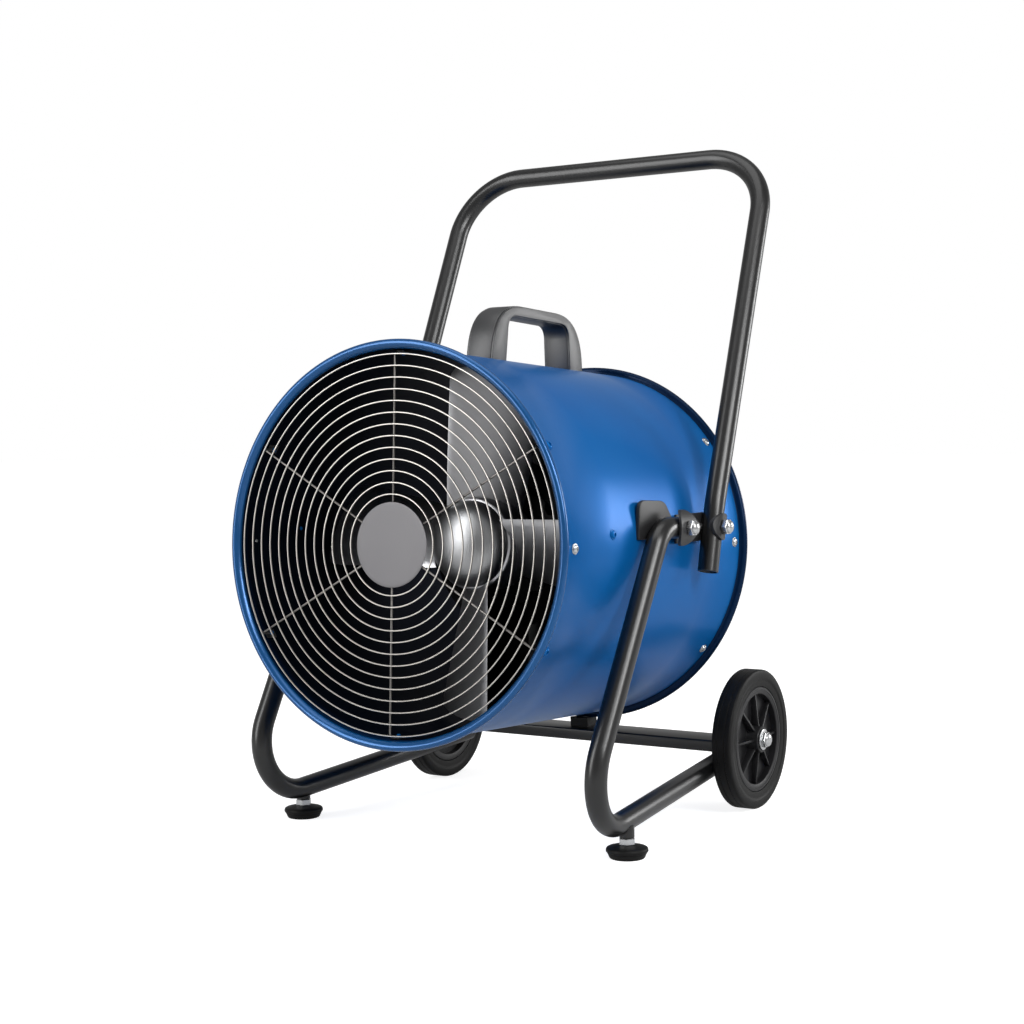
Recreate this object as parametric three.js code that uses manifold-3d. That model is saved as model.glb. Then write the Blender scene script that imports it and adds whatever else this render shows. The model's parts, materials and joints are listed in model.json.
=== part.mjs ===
// Floor blower: a drum fan that tilts in a wheeled tube frame.
// Millimetres, +Z up. The air leaves towards -Y and the push handle leans back towards +Y.
// Before the last shift, y = 0 lies at the tilt pivot and z = 0 on the floor.
import * as THREE from 'three';
import { mergeVertices } from 'three/addons/utils/BufferGeometryUtils.js';
import Module from 'manifold-3d';

const wasm = await Module();
wasm.setup();

// Fits shared by all pieces
const seatGap = 0.3;
const boltClearance = 0.4;
const weldDepth = 0.5;
const overrun = 6;
const mergeTolerance = 1e-3;
const hexSides = 6;

// Drum shell
const drumRadius = 222;
const drumWall = 2;
const noseLength = 240;
const tailLength = 212;
const rimBeadRadius = 4.5;
const drumFacets = 48;
const rimBeadSteps = 4;

// Tilt pivot
const drumAboveTail = 56.5;
const axisDrop = 23;
const restTilt = THREE.MathUtils.degToRad(2.85);
const pivotStudRadius = 5;
const pivotRunningGap = 1.6;

// Pivot bracket, seen from the side about the pivot
const bracketThickness = 3;
const bracketNose = 68;
const bracketTop = 31;
const bracketBottom = 42;
const bracketShoulder = 6;
const bracketCornerRadius = 14;
const bracketLugRadius = 17;

// Frame tube and its bends
const tubeRadius = 12.5;
const tubeWall = 2;
const tubeFacets = 12;
const tubeBoreFacets = 6;
const tubePlugThickness = 3;
const bendStep = THREE.MathUtils.degToRad(18);
const stubLength = 33;
const stubDrop = 1.3;
const upperBendReach = 43;
const upperBendRise = 1.7;
const upperBendRadius = 38;
const lowerBendReach = 238;
const lowerBendHeight = 30.5;
const lowerBendInset = 6.4;
const lowerBendRadius = 62;
const tubeTailOverhang = 12;

// Wheels and axles
const wheelRadius = 87.5;
const wheelWidth = 27;
const wheelInset = 1.5;
const wheelAxleReach = 205;
const wheelTubeGap = 6;
const axleAboveTube = 25;
const axleRadius = 6;
const axleCollarRadius = 10;
const axleCollarWidth = 2;
const wheelFacets = 24;
const tyreSectionHeight = 21.5;
const tyreShoulder = 2.5;
const tyreCrownEase = 1.5;
const tyreFlankEase = 1;
const tyreFlankHollow = 2.5;
const tyreFlankDepth = 0.6;
const rimBandThickness = 8.7;
const rimBandInset = 2.2;
const rimWebThickness = 4;
const rimWebDepth = 14;
const rimHubRadius = 17;
const rimHubOverhang = 3.5;
const rimRibCount = 8;
const rimRibThickness = 3;
const rimRibDrop = 4;
const bushWall = 1.7;
const washerRadius = 13;
const washerThickness = 1.5;
const axleNutFlats = 18;
const axleNutHex = 4.5;
const axleNutDome = 4.5;

// Cross bar on the two lower tubes, measured along and square to their slope
const barDepth = 40;
const barThickness = 15;
const barOverhang = 4;
const lugThickness = 5;
const lugWheelGap = 0.6;
const lugRadius = 12;

// Tilt stop on the cross bar
const stopWidth = 26;
const stopLength = 24;
const stopSetback = 5;
const stopHeight = 20;

// Cap nuts and saddles of the two pivots
const capNutFlats = 17;
const capNutHex = 6;
const capNutDome = 5;
const capNutWall = 3;
const nutFacets = 8;
const tiltSaddleRadius = 21;
const tiltSaddleCurve = 26;
const handleSaddleRadius = 16;
const handleSaddleCurve = 18;
const saddleThickness = 3;

// Push handle and the tab that carries it
const handlePivotReach = 89;
const handlePivotDrop = 3;
const handleOutset = 0.8;
const handleTailLength = 53;
const handleTailSweep = 13.3;
const handleKneeRise = 21;
const handleKneeReach = 95;
const handleKneeRadius = 150;
const handleTopRise = 466;
const handleTopReach = 285.5;
const handleTopInset = 12;
const handleTopRadius = 86;
const tabThickness = 3.2;
const tabHeight = 34;
const tabOverlap = 13;
const tabWeldDepth = 1.8;
const handleStudRadius = 5;

// Adjustable feet
const footReach = 113.6;
const footPadRadius = 24;
const footPadHeight = 15;
const footPadSole = 19.5;
const footPadRim = 7;
const footPadNeck = 11;
const footPadShoulder = 10.5;
const footPadCrown = 22;
const footPadEdge = 12.5;
const footPadFloor = 5;
const footNutFlats = 17;
const footNutHeight = 7.3;
const footStudRadius = 5;
const footStudTop = 44;
const footBossRadius = 8.5;
const footBossSink = 3;
const footOutset = 6;

// Guards
const guardRingDepth = 6;
const guardWireRadius = 1.35;
const spokeRadius = 1.6;
const spokeFacets = 4;
const spokeBendRadius = 2.5;
const guardRingGap = 5.5;
const frontInnerRing = 57;
const frontRingCount = 13;
const frontRingFacets = 24;
const rearInnerRing = 56;
const rearRingCount = 8;
const rearRingFacets = 20;
const frontDiscRadius = 48;
const frontDiscThickness = 1.85;
const frontDiscDish = 1.2;
const rearDiscRadius = 40;
const rearDiscThickness = 1.6;
const guardTabWidth = 11;
const guardTabThickness = 2;
const guardTabLength = 16;
const guardTabClearance = 0.8;
const frontScrewDepth = 25;
const rearScrewDepth = 22;
const frontSpokeAngles = [90, 30, -30, -90, -150, 150].map(THREE.MathUtils.degToRad);
const rearSpokeAngles = [36, 108, 180, 252, 324].map(THREE.MathUtils.degToRad);

// Guard and handle screws
const screwShankRadius = 2.2;
const screwHeadRadius = 4.8;
const screwHeadHeight = 2.6;
const screwTail = 3;
const screwFacets = 6;
const headTopShare = 0.7;

// Impeller, hub and shaft; fronts and rears lie along the drum axis, measured back from the pivot
const fanMiddle = -50;
const fanTipGap = 8;
const bladeRootRadius = 53.5;
const bladeCount = 4;
const bladePhase = THREE.MathUtils.degToRad(84);
const bladeRootChord = 96;
const bladeTipChord = 118;
const bladeRootPitch = THREE.MathUtils.degToRad(40);
const bladeTipPitch = THREE.MathUtils.degToRad(28);
const bladeThickness = 2.6;
const bladeCamber = 6;
const bladeStations = 5;
const bladeSlices = 6;
const hubRadius = 56;
const hubWall = 4;
const hubFront = -72;
const hubRear = -18;
const hubBossRadius = 16;
const hubBossLength = 42;
const hubFacets = 20;
const hubCapRadius = 52;
const hubCapHeight = 28;
const hubCapWall = 2.5;
const hubCapSteps = 4;
const shaftRadius = 8;
const shaftFacets = 12;
const shaftFront = -88;
const shaftRear = 22;

// Motor and its spider
const motorFront = -10;
const motorRear = 132;
const motorBodyFront = 2;
const motorBodyRear = 120;
const motorRadius = 77;
const motorFinDepth = 6;
const motorFinCount = 16;
const motorBellRadius = 66;
const motorNoseRadius = 26;
const motorFacets = 16;
const clampFacets = 32;
const finTipShare = 0.35;
const spiderFront = 6;
const spiderRear = 116;
const spiderSheet = 3;
const spiderFlangeWidth = 24;
const spiderWallGap = 0.5;
const spiderArmCount = 4;

// Carry handle, seen from the side about the drum axis
const carryFront = -60;
const carryRear = 155;
const carryRise = 69;
const carryWidth = 38;
const carryGripThickness = 14;
const carryLegFoot = 32;
const carryLegLean = 4;
const carryOuterRadius = 66;
const carryInnerRadius = 20;
const carryBevel = 3;
const carryCurveSteps = 5;
const carryScrewDepth = 16;

// Switch box, knob and cable gland
const switchAngle = THREE.MathUtils.degToRad(218);
const switchFront = 90;
const switchLength = 75;
const switchWidth = 60;
const switchDepth = 42;
const switchCornerRadius = 8;
const switchBevel = 2.5;
const knobRadius = 16;
const knobHeight = 13;
const knobDraft = 2;
const knobFacets = 12;
const knobRibWidth = 5;
const knobRibHeight = 5;
const spindleRadius = 3;
const spindleDepth = 9;
const glandHexFlats = 20;
const glandHexLength = 5;
const glandNeckRadius = 8;
const glandNeckLength = 9;
const glandThreadLength = 7;
const glandBoreRadius = 4;
const glandBoreDepth = 11;

// Places worked out from the sizes above
const shellRadius = drumRadius - drumWall;
const guardOuterRing = shellRadius - guardRingGap;
const fanTipRadius = shellRadius - fanTipGap;
const axleHeight = wheelRadius;
const tubeTailHeight = axleHeight - axleAboveTube;
const pivotHeight = tubeTailHeight + drumAboveTail + drumRadius + axisDrop;
const handlePivotHeight = pivotHeight - handlePivotDrop;
const handleKneeHeight = pivotHeight + handleKneeRise;
const handleTopHeight = pivotHeight + handleTopRise;
const bracketOuterX = drumRadius + seatGap + bracketThickness;
const frameTopX = bracketOuterX + pivotRunningGap + tubeRadius;
const handleX = frameTopX + handleOutset;
const wheelInnerX = drumRadius - wheelInset;
const tubeTailX = wheelInnerX - wheelTubeGap - tubeRadius;
const lugOuterX = wheelInnerX - lugWheelGap;
const lugInnerX = lugOuterX - lugThickness;
const lowerBendX = frameTopX - lowerBendInset;
const tubeSlope = Math.atan2(tubeTailHeight - lowerBendHeight, wheelAxleReach + lowerBendReach);
const tiltSaddleX = frameTopX + tubeRadius + seatGap;
const handleSaddleX = handleX + tubeRadius + seatGap;
const boltBoreRadius = pivotStudRadius + boltClearance;
const bushBore = axleRadius + boltClearance;
const bushOuterRadius = bushBore + bushWall;
const axleCollarX = lugOuterX + seatGap;
const hubInnerX = axleCollarX + axleCollarWidth + seatGap;
const wheelOuterX = wheelInnerX + wheelWidth;
const hubOuterX = wheelOuterX + rimHubOverhang;
const axleWasherX = hubOuterX + seatGap;
const axleNutX = axleWasherX + washerThickness + seatGap;
const rimOuterRadius = wheelRadius - tyreSectionHeight - seatGap;
const footTubeX = THREE.MathUtils.mapLinear(-footReach, -lowerBendReach, wheelAxleReach, lowerBendX, tubeTailX);
const footX = footTubeX + footOutset;
const footTubeHeight = THREE.MathUtils.mapLinear(
  -footReach, -lowerBendReach, wheelAxleReach, lowerBendHeight, tubeTailHeight);
const footNutBase = footPadHeight + seatGap;
const footBossBase = footNutBase + footNutHeight + seatGap;
const guardTabRadius = shellRadius - guardTabClearance;
const spokeDepth = guardRingDepth + guardWireRadius + spokeRadius - weldDepth;
const frontDiscBack = spokeDepth - spokeRadius - seatGap;

const drumFrame = new THREE.Matrix4().makeRotationX(-restTilt).setPosition(0, 0, pivotHeight);
const axisFrame = new THREE.Matrix4().makeTranslation(0, 0, -axisDrop);
const barFrame = new THREE.Matrix4().makeRotationX(tubeSlope);
barFrame.setPosition(0, wheelAxleReach, tubeTailHeight);

// Paints
const paints = {
  blue: { color: 0x1f63b8, roughness: 0.22, metalness: 0.55 },
  black: { color: 0x14161a, roughness: 0.3, metalness: 0.3 },
  aluminium: { color: 0xc9cdd2, roughness: 0.25, metalness: 1 },
  grey: { color: 0x8b9096, roughness: 0.5, metalness: 0.2 },
  wire: { color: 0xd6d9dc, roughness: 0.25, metalness: 1 },
  zinc: { color: 0xbfc3c8, roughness: 0.32, metalness: 1 },
  rubber: { color: 0x151515, roughness: 0.85, metalness: 0 },
  plastic: { color: 0x1b1c1f, roughness: 0.5, metalness: 0 },
  darkPlastic: { color: 0x2a2c30, roughness: 0.45, metalness: 0 },
  castGrey: { color: 0x6e747b, roughness: 0.55, metalness: 0.6 },
};

// Solids and their joins and cuts

function outwardMesh(geometry) {
  const plain = geometry.clone();
  plain.deleteAttribute('normal');
  plain.deleteAttribute('uv');
  const merged = mergeVertices(plain, mergeTolerance);
  const points = merged.attributes.position;
  const corners = merged.index.array;
  const kept = [];
  const a = new THREE.Vector3();
  const b = new THREE.Vector3();
  const c = new THREE.Vector3();
  let volume = 0;
  for (let i = 0; i < corners.length; i += 3) {
    const [p, q, r] = [corners[i], corners[i + 1], corners[i + 2]];
    if (p !== q && q !== r && r !== p) {
      kept.push(p, q, r);
      a.fromBufferAttribute(points, p);
      b.fromBufferAttribute(points, q);
      c.fromBufferAttribute(points, r);
      volume += a.dot(b.cross(c));
    }
  }
  if (volume < 0) kept.reverse();
  return new wasm.Mesh({
    numProp: 3,
    vertProperties: Float32Array.from(points.array),
    triVerts: Uint32Array.from(kept),
  });
}

function solidOf(geometry) {
  return new wasm.Manifold(outwardMesh(geometry));
}

function geometryOf(solid) {
  const mesh = solid.getMesh();
  const geometry = new THREE.BufferGeometry();
  geometry.setAttribute('position', new THREE.BufferAttribute(Float32Array.from(mesh.vertProperties), 3));
  geometry.setIndex(new THREE.BufferAttribute(Uint32Array.from(mesh.triVerts), 1));
  geometry.computeVertexNormals();
  return geometry;
}

function joined(first, ...rest) {
  let solid = solidOf(first);
  for (const geometry of rest) {
    solid = solid.add(solidOf(geometry));
  }
  return geometryOf(solid);
}

function cut(body, ...tools) {
  let solid = solidOf(body);
  for (const tool of tools) {
    solid = solid.subtract(solidOf(tool));
  }
  return geometryOf(solid);
}

function common(first, second) {
  return geometryOf(solidOf(first).intersect(solidOf(second)));
}

// A profile of [radius, height] points turned about the named axis; side -1 runs it the other way along X
function revolve(profile, facets, axis, side = 1) {
  const points = profile.map(([radius, height]) => new THREE.Vector2(radius, height));
  const onAxis = points[0].x === 0 && points[points.length - 1].x === 0;
  if (!onAxis) points.push(points[0].clone());
  const geometry = new THREE.LatheGeometry(points, facets);
  if (axis === 'x') geometry.rotateZ(-side * Math.PI / 2);
  if (axis === 'z') geometry.rotateX(Math.PI / 2);
  return geometry;
}

function rod(radius, from, to, facets, axis, side = 1) {
  return revolve([[0, from], [radius, from], [radius, to], [0, to]], facets, axis, side);
}

function sleeve(bore, radius, from, to, facets, axis, side = 1) {
  return revolve([[bore, from], [radius, from], [radius, to], [bore, to]], facets, axis, side);
}

function hexRod(flats, from, to, axis, side = 1) {
  return rod(flats / 2 / Math.cos(Math.PI / hexSides), from, to, hexSides, axis, side);
}

function block(x0, x1, y0, y1, z0, z1) {
  const geometry = new THREE.BoxGeometry(x1 - x0, y1 - y0, z1 - z0);
  return geometry.translate((x0 + x1) / 2, (y0 + y1) / 2, (z0 + z1) / 2);
}

// A side outline in (y, z) given thickness along X
function sidePlate(shape, x0, x1, curveSteps) {
  const options = { depth: x1 - x0, bevelEnabled: false, curveSegments: curveSteps };
  const geometry = new THREE.ExtrudeGeometry(shape, options);
  const turn = new THREE.Matrix4().makeBasis(
    new THREE.Vector3(0, 1, 0), new THREE.Vector3(0, 0, 1), new THREE.Vector3(1, 0, 0));
  return geometry.applyMatrix4(turn).translate(x0, 0, 0);
}

function mirrored(geometry, side) {
  return side > 0 ? geometry : geometry.scale(-1, 1, 1);
}

// Something built on the +X side, swung round the drum axis
function swung(geometry, angle) {
  return geometry.rotateY(-angle);
}

// A round bar or tube along straight runs with arcs at the corners
class BentPath extends THREE.Curve {
  constructor(corners, bendRadii) {
    super();
    this.stations = [];
    this.tangents = [];
    const last = corners.length - 1;
    const start = corners[1].clone().sub(corners[0]).normalize();
    this.addStation(corners[0], start);
    for (let i = 1; i < last; i += 1) {
      this.addBend(corners[i - 1], corners[i], corners[i + 1], bendRadii[i - 1]);
    }
    this.addStation(corners[last], corners[last].clone().sub(corners[last - 1]).normalize());
  }

  addStation(point, tangent) {
    this.stations.push(point.clone());
    this.tangents.push(tangent.clone());
  }

  addBend(before, corner, after, radius) {
    const into = corner.clone().sub(before).normalize();
    const out = after.clone().sub(corner).normalize();
    const turn = into.angleTo(out);
    const setback = radius * Math.tan(turn / 2);
    const start = corner.clone().addScaledVector(into, -setback);
    const inward = out.clone().addScaledVector(into, -out.dot(into)).normalize();
    const steps = Math.max(1, Math.ceil(turn / bendStep));
    for (let k = 0; k <= steps; k += 1) {
      const angle = turn * k / steps;
      const point = start.clone().addScaledVector(into, radius * Math.sin(angle));
      point.addScaledVector(inward, radius * (1 - Math.cos(angle)));
      const tangent = into.clone().multiplyScalar(Math.cos(angle)).addScaledVector(inward, Math.sin(angle));
      this.addStation(point, tangent);
    }
  }

  getPoint(share, target = new THREE.Vector3()) {
    return target.copy(this.stations[Math.round(share * (this.stations.length - 1))]);
  }

  getPointAt(share, target) {
    return this.getPoint(share, target);
  }

  getTangent(share, target = new THREE.Vector3()) {
    return target.copy(this.tangents[Math.round(share * (this.tangents.length - 1))]);
  }

  getTangentAt(share, target) {
    return this.getTangent(share, target);
  }
}

function circleShape(radius, facets) {
  const points = [];
  for (let i = 0; i < facets; i += 1) {
    const angle = 2 * Math.PI * i / facets;
    points.push(new THREE.Vector2(radius * Math.cos(angle), radius * Math.sin(angle)));
  }
  return new THREE.Shape(points);
}

function bentRod(corners, bendRadii, radius, facets) {
  const path = new BentPath(corners, bendRadii);
  const options = { steps: path.stations.length - 1, extrudePath: path, bevelEnabled: false };
  return new THREE.ExtrudeGeometry(circleShape(radius, facets), options);
}

// A tube whose two ends are closed by plugs
function pluggedTube(corners, bendRadii) {
  const outer = bentRod(corners, bendRadii, tubeRadius, tubeFacets);
  const bore = corners.map((corner) => corner.clone());
  const last = bore.length - 1;
  const first = bore[1].clone().sub(bore[0]).normalize();
  const final = bore[last - 1].clone().sub(bore[last]).normalize();
  bore[0].addScaledVector(first, tubePlugThickness);
  bore[last].addScaledVector(final, tubePlugThickness);
  return cut(outer, bentRod(bore, bendRadii, tubeRadius - tubeWall, tubeBoreFacets));
}

function named(name, geometry, paint) {
  const mesh = new THREE.Mesh(geometryOf(solidOf(geometry)), new THREE.MeshStandardMaterial(paints[paint]));
  mesh.name = name;
  return mesh;
}

// Drum shell with its two rolled rims

function rimProfile(endY, outward) {
  const centreRadius = drumRadius + rimBeadRadius;
  const centreY = endY - outward * rimBeadRadius;
  const points = [[shellRadius, centreY]];
  for (let k = 0; k <= rimBeadSteps; k += 1) {
    const angle = Math.PI * (3 / 4 - 5 / 4 * k / rimBeadSteps);
    points.push([
      centreRadius + rimBeadRadius * Math.cos(angle),
      centreY + outward * rimBeadRadius * Math.sin(angle),
    ]);
  }
  points.push([drumRadius, centreY - outward * rimBeadRadius]);
  return points;
}

function drumEnvelope(radius) {
  return rod(radius, -noseLength - overrun, tailLength + overrun, drumFacets, 'y');
}

function carryScrewPlaces() {
  return [carryFront + carryLegFoot / 2, carryRear - carryLegFoot / 2];
}

function drumShell() {
  const profile = [...rimProfile(tailLength, 1), ...rimProfile(-noseLength, -1).reverse()];
  const holes = [];
  const screwHole = () => rod(
    screwShankRadius + boltClearance, shellRadius - overrun, drumRadius + overrun, screwFacets, 'x');
  for (const angle of frontSpokeAngles) {
    holes.push(swung(screwHole().translate(0, frontScrewDepth - noseLength, 0), angle));
  }
  for (const angle of rearSpokeAngles) {
    holes.push(swung(screwHole().translate(0, tailLength - rearScrewDepth, 0), angle));
  }
  for (const place of carryScrewPlaces()) {
    holes.push(swung(screwHole().translate(0, place, 0), Math.PI / 2));
  }
  return cut(revolve(profile, drumFacets, 'y'), ...holes);
}

// Guard screw through the wall and the guard's tab
function guardScrew(angle, y) {
  const headSeat = drumRadius + seatGap;
  const tail = guardTabRadius - guardTabThickness - screwTail;
  const head = headSeat + screwHeadHeight;
  const profile = [
    [0, tail], [screwShankRadius, tail], [screwShankRadius, headSeat],
    [screwHeadRadius, headSeat], [screwHeadRadius * headTopShare, head], [0, head],
  ];
  return swung(revolve(profile, screwFacets, 'x').translate(0, y, 0), angle);
}

// Guards

// back is the signed half size of the wire towards the spokes
function wireRing(radius, y, back, facets) {
  const half = guardWireRadius * Math.cos(Math.PI / 6);
  const profile = [[radius - half, y - back / 2], [radius + half, y - back / 2], [radius, y + back]];
  return revolve(profile, facets, 'y');
}

// A spoke from the middle to the wall, bent back along it to a tab with a screw hole
function guardSpoke(planeY, screwY, angle) {
  const wallRadius = guardTabRadius - guardTabThickness + weldDepth - spokeRadius;
  const inward = Math.sign(screwY - planeY);
  const corners = [
    new THREE.Vector3(0, planeY, 0),
    new THREE.Vector3(wallRadius, planeY, 0),
    new THREE.Vector3(wallRadius, screwY - inward * screwHeadRadius, 0),
  ];
  const wire = bentRod(corners, [spokeBendRadius], spokeRadius, spokeFacets);
  const tab = block(
    guardTabRadius - guardTabThickness, guardTabRadius,
    screwY - guardTabLength / 2, screwY + guardTabLength / 2, -guardTabWidth / 2, guardTabWidth / 2);
  const hole = rod(screwShankRadius + boltClearance, shellRadius - drumRadius, drumRadius, screwFacets, 'x');
  return swung(cut(joined(wire, tab), hole.translate(0, screwY, 0)), angle);
}

function guard(ringY, planeY, screwY, rings, angles) {
  const spokes = angles.map((angle) => guardSpoke(planeY, screwY, angle));
  const back = Math.sign(planeY - ringY) * guardWireRadius;
  return joined(...spokes, ...rings.map(([radius, facets]) => wireRing(radius, ringY, back, facets)));
}

// Smaller rings need fewer facets
function ringRow(inner, count, facets) {
  const rings = [];
  for (let i = 0; i < count; i += 1) {
    const radius = inner + (guardOuterRing - inner) * i / (count - 1);
    rings.push([radius, 2 * Math.round(facets * Math.sqrt(radius / guardOuterRing) / 2)]);
  }
  return rings;
}

function frontGuard() {
  const rings = ringRow(frontInnerRing, frontRingCount, frontRingFacets);
  return guard(
    guardRingDepth - noseLength, spokeDepth - noseLength, frontScrewDepth - noseLength, rings, frontSpokeAngles);
}

function rearGuard() {
  const rings = ringRow(rearInnerRing, rearRingCount, rearRingFacets);
  const wires = guard(
    tailLength - guardRingDepth, tailLength - spokeDepth, tailLength - rearScrewDepth, rings, rearSpokeAngles);
  const discY = tailLength - spokeDepth + spokeRadius - weldDepth;
  return joined(wires, rod(rearDiscRadius, discY, discY + rearDiscThickness, rearRingFacets, 'y'));
}

function guardDisc() {
  const back = frontDiscBack - noseLength;
  const front = back - frontDiscThickness;
  const hem = frontDiscRadius - 2 * frontDiscThickness;
  const profile = [
    [0, front - frontDiscDish], [hem - frontDiscThickness, front - frontDiscDish / 2], [hem, front],
    [frontDiscRadius, back - frontDiscThickness / 2], [frontDiscRadius, back], [0, back],
  ];
  return revolve(profile, hubFacets, 'y');
}

// Impeller

// One blade from root to tip: wrapped round the axis, twisted and cambered
function blade(phase) {
  const positions = [];
  const index = [];
  const rows = 2 * bladeSlices;
  for (let i = 0; i < bladeStations; i += 1) {
    const share = i / (bladeStations - 1);
    const radius = THREE.MathUtils.lerp(bladeRootRadius, fanTipRadius, share);
    const chord = THREE.MathUtils.lerp(bladeRootChord, bladeTipChord, share);
    const pitch = THREE.MathUtils.lerp(bladeRootPitch, bladeTipPitch, share);
    for (let j = 0; j < rows; j += 1) {
      const back = j >= bladeSlices;
      const place = back ? rows - 1 - j : j;
      const across = place / (bladeSlices - 1) - 1 / 2;
      const lift = bladeCamber * (1 - 4 * across * across) + (back ? 1 : -1) * bladeThickness / 2;
      const around = chord * across * Math.cos(pitch) + lift * Math.sin(pitch);
      const along = -chord * across * Math.sin(pitch) + lift * Math.cos(pitch);
      const angle = phase + around / radius;
      positions.push(radius * Math.cos(angle), fanMiddle + along, radius * Math.sin(angle));
    }
  }
  for (let i = 0; i < bladeStations - 1; i += 1) {
    for (let j = 0; j < rows; j += 1) {
      const a = i * rows + j;
      const b = i * rows + (j + 1) % rows;
      index.push(a, b, b + rows, a, b + rows, a + rows);
    }
  }
  const tip = (bladeStations - 1) * rows;
  for (let j = 0; j < bladeSlices - 1; j += 1) {
    const k = rows - 1 - j;
    index.push(j, k, j + 1, j + 1, k, k - 1);
    index.push(tip + j, tip + j + 1, tip + k, tip + j + 1, tip + k - 1, tip + k);
  }
  const geometry = new THREE.BufferGeometry();
  geometry.setAttribute('position', new THREE.Float32BufferAttribute(positions, 3));
  geometry.setIndex(index);
  return geometry;
}

function impeller() {
  const plate = hubFront + hubWall;
  const bore = shaftRadius + seatGap;
  const profile = [
    [bore, hubFront], [hubRadius, hubFront], [hubRadius, hubRear], [hubRadius - hubWall, hubRear],
    [hubRadius - hubWall, plate], [hubBossRadius, plate], [hubBossRadius, plate + hubBossLength],
    [bore, plate + hubBossLength],
  ];
  let body = revolve(profile, hubFacets, 'y');
  for (let i = 0; i < bladeCount; i += 1) {
    body = joined(body, blade(bladePhase - 2 * Math.PI * i / bladeCount));
  }
  return body;
}

function hubCap() {
  const seat = hubFront - seatGap;
  const outer = [];
  const inner = [];
  for (let k = 0; k <= hubCapSteps; k += 1) {
    const angle = Math.PI / 2 * k / hubCapSteps;
    const reach = k === 0 ? 0 : Math.sin(angle);
    outer.push([hubCapRadius * reach, seat - hubCapHeight * Math.cos(angle)]);
    inner.push([(hubCapRadius - hubCapWall) * reach, seat - (hubCapHeight - hubCapWall) * Math.cos(angle)]);
  }
  outer[hubCapSteps][1] = seat;
  inner[hubCapSteps][1] = seat;
  return revolve([...outer, ...inner.reverse()], hubFacets, 'y');
}

// Motor, held by a clamp ring with four deep sheet arms

function motorHousing() {
  const rootRadius = motorRadius - motorFinDepth;
  const points = [];
  for (let i = 0; i < motorFinCount; i += 1) {
    const step = 2 * Math.PI / motorFinCount;
    const middle = step * i;
    const half = step * finTipShare / 2;
    for (const [radius, angle] of [
      [rootRadius, middle - 2 * half], [motorRadius, middle - half],
      [motorRadius, middle + half], [rootRadius, middle + 2 * half],
    ]) {
      points.push(new THREE.Vector2(radius * Math.cos(angle), radius * Math.sin(angle)));
    }
  }
  const options = { depth: motorBodyRear - motorBodyFront, bevelEnabled: false };
  const fins = new THREE.ExtrudeGeometry(new THREE.Shape(points), options);
  fins.rotateX(Math.PI / 2).translate(0, motorBodyRear, 0);
  const profile = [
    [0, motorFront], [motorNoseRadius, motorFront], [motorNoseRadius, motorBodyFront - weldDepth],
    [motorBellRadius, motorBodyFront - weldDepth], [motorBellRadius, motorBodyRear + weldDepth],
    [motorNoseRadius, motorRear], [0, motorRear],
  ];
  const shaftBore = rod(shaftRadius + seatGap, motorFront - overrun, shaftRear + seatGap, hubFacets, 'y');
  return cut(joined(fins, revolve(profile, motorFacets, 'y')), shaftBore);
}

function motorSpider() {
  const ringBore = motorRadius / Math.cos(Math.PI / clampFacets) + seatGap;
  const ringRadius = ringBore + spiderSheet;
  const reach = shellRadius - spiderWallGap;
  const arms = [];
  const flanges = [];
  for (let i = 0; i < spiderArmCount; i += 1) {
    const angle = 2 * Math.PI * i / spiderArmCount;
    const arm = block(
      ringRadius - spiderSheet / 2, reach - spiderSheet / 2,
      spiderFront, spiderRear, -spiderSheet / 2, spiderSheet / 2);
    const flange = block(
      reach - 2 * spiderSheet, reach + overrun,
      spiderFront, spiderRear, -spiderFlangeWidth / 2, spiderFlangeWidth / 2);
    arms.push(swung(arm, angle));
    flanges.push(swung(flange, angle));
  }
  const ring = sleeve(ringBore, ringRadius, spiderFront, spiderRear, clampFacets, 'y');
  const rim = cut(common(joined(...flanges), drumEnvelope(reach)), drumEnvelope(reach - spiderSheet));
  return joined(ring, rim, ...arms);
}

// Carry handle: a moulded arch that sits on the drum, held by two screws from inside

function carryHandle() {
  const base = drumRadius - overrun;
  const top = drumRadius + carryRise;
  const under = top - carryGripThickness;
  const innerFront = carryFront + carryLegFoot + carryLegLean;
  const innerRear = carryRear - carryLegFoot - carryLegLean;
  const shape = new THREE.Shape();
  shape.moveTo(carryFront, base);
  shape.lineTo(carryFront, top - carryOuterRadius);
  shape.quadraticCurveTo(carryFront + carryLegLean, top, carryFront + carryOuterRadius, top);
  shape.lineTo(carryRear - carryOuterRadius, top);
  shape.quadraticCurveTo(carryRear - carryLegLean, top, carryRear, top - carryOuterRadius);
  shape.lineTo(carryRear, base);
  shape.lineTo(carryRear - carryLegFoot, base);
  shape.lineTo(innerRear, under - carryInnerRadius);
  shape.quadraticCurveTo(innerRear, under, innerRear - carryInnerRadius, under);
  shape.lineTo(innerFront + carryInnerRadius, under);
  shape.quadraticCurveTo(innerFront, under, innerFront, under - carryInnerRadius);
  shape.lineTo(carryFront + carryLegFoot, base);
  const options = {
    depth: carryWidth - 2 * carryBevel,
    bevelThickness: carryBevel,
    bevelSize: carryBevel,
    bevelOffset: -carryBevel,
    bevelSegments: 1,
    curveSegments: carryCurveSteps,
  };
  const turn = new THREE.Matrix4().makeBasis(
    new THREE.Vector3(0, 1, 0), new THREE.Vector3(0, 0, 1), new THREE.Vector3(1, 0, 0));
  const arch = new THREE.ExtrudeGeometry(shape, options).applyMatrix4(turn);
  arch.translate(carryBevel - carryWidth / 2, 0, 0);
  const bores = carryScrewPlaces().map((place) => {
    const bore = rod(
      screwShankRadius + boltClearance, shellRadius, drumRadius + carryScrewDepth + seatGap, screwFacets, 'z');
    return bore.translate(0, place, 0);
  });
  return cut(arch, drumEnvelope(drumRadius + seatGap), ...bores);
}

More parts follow.
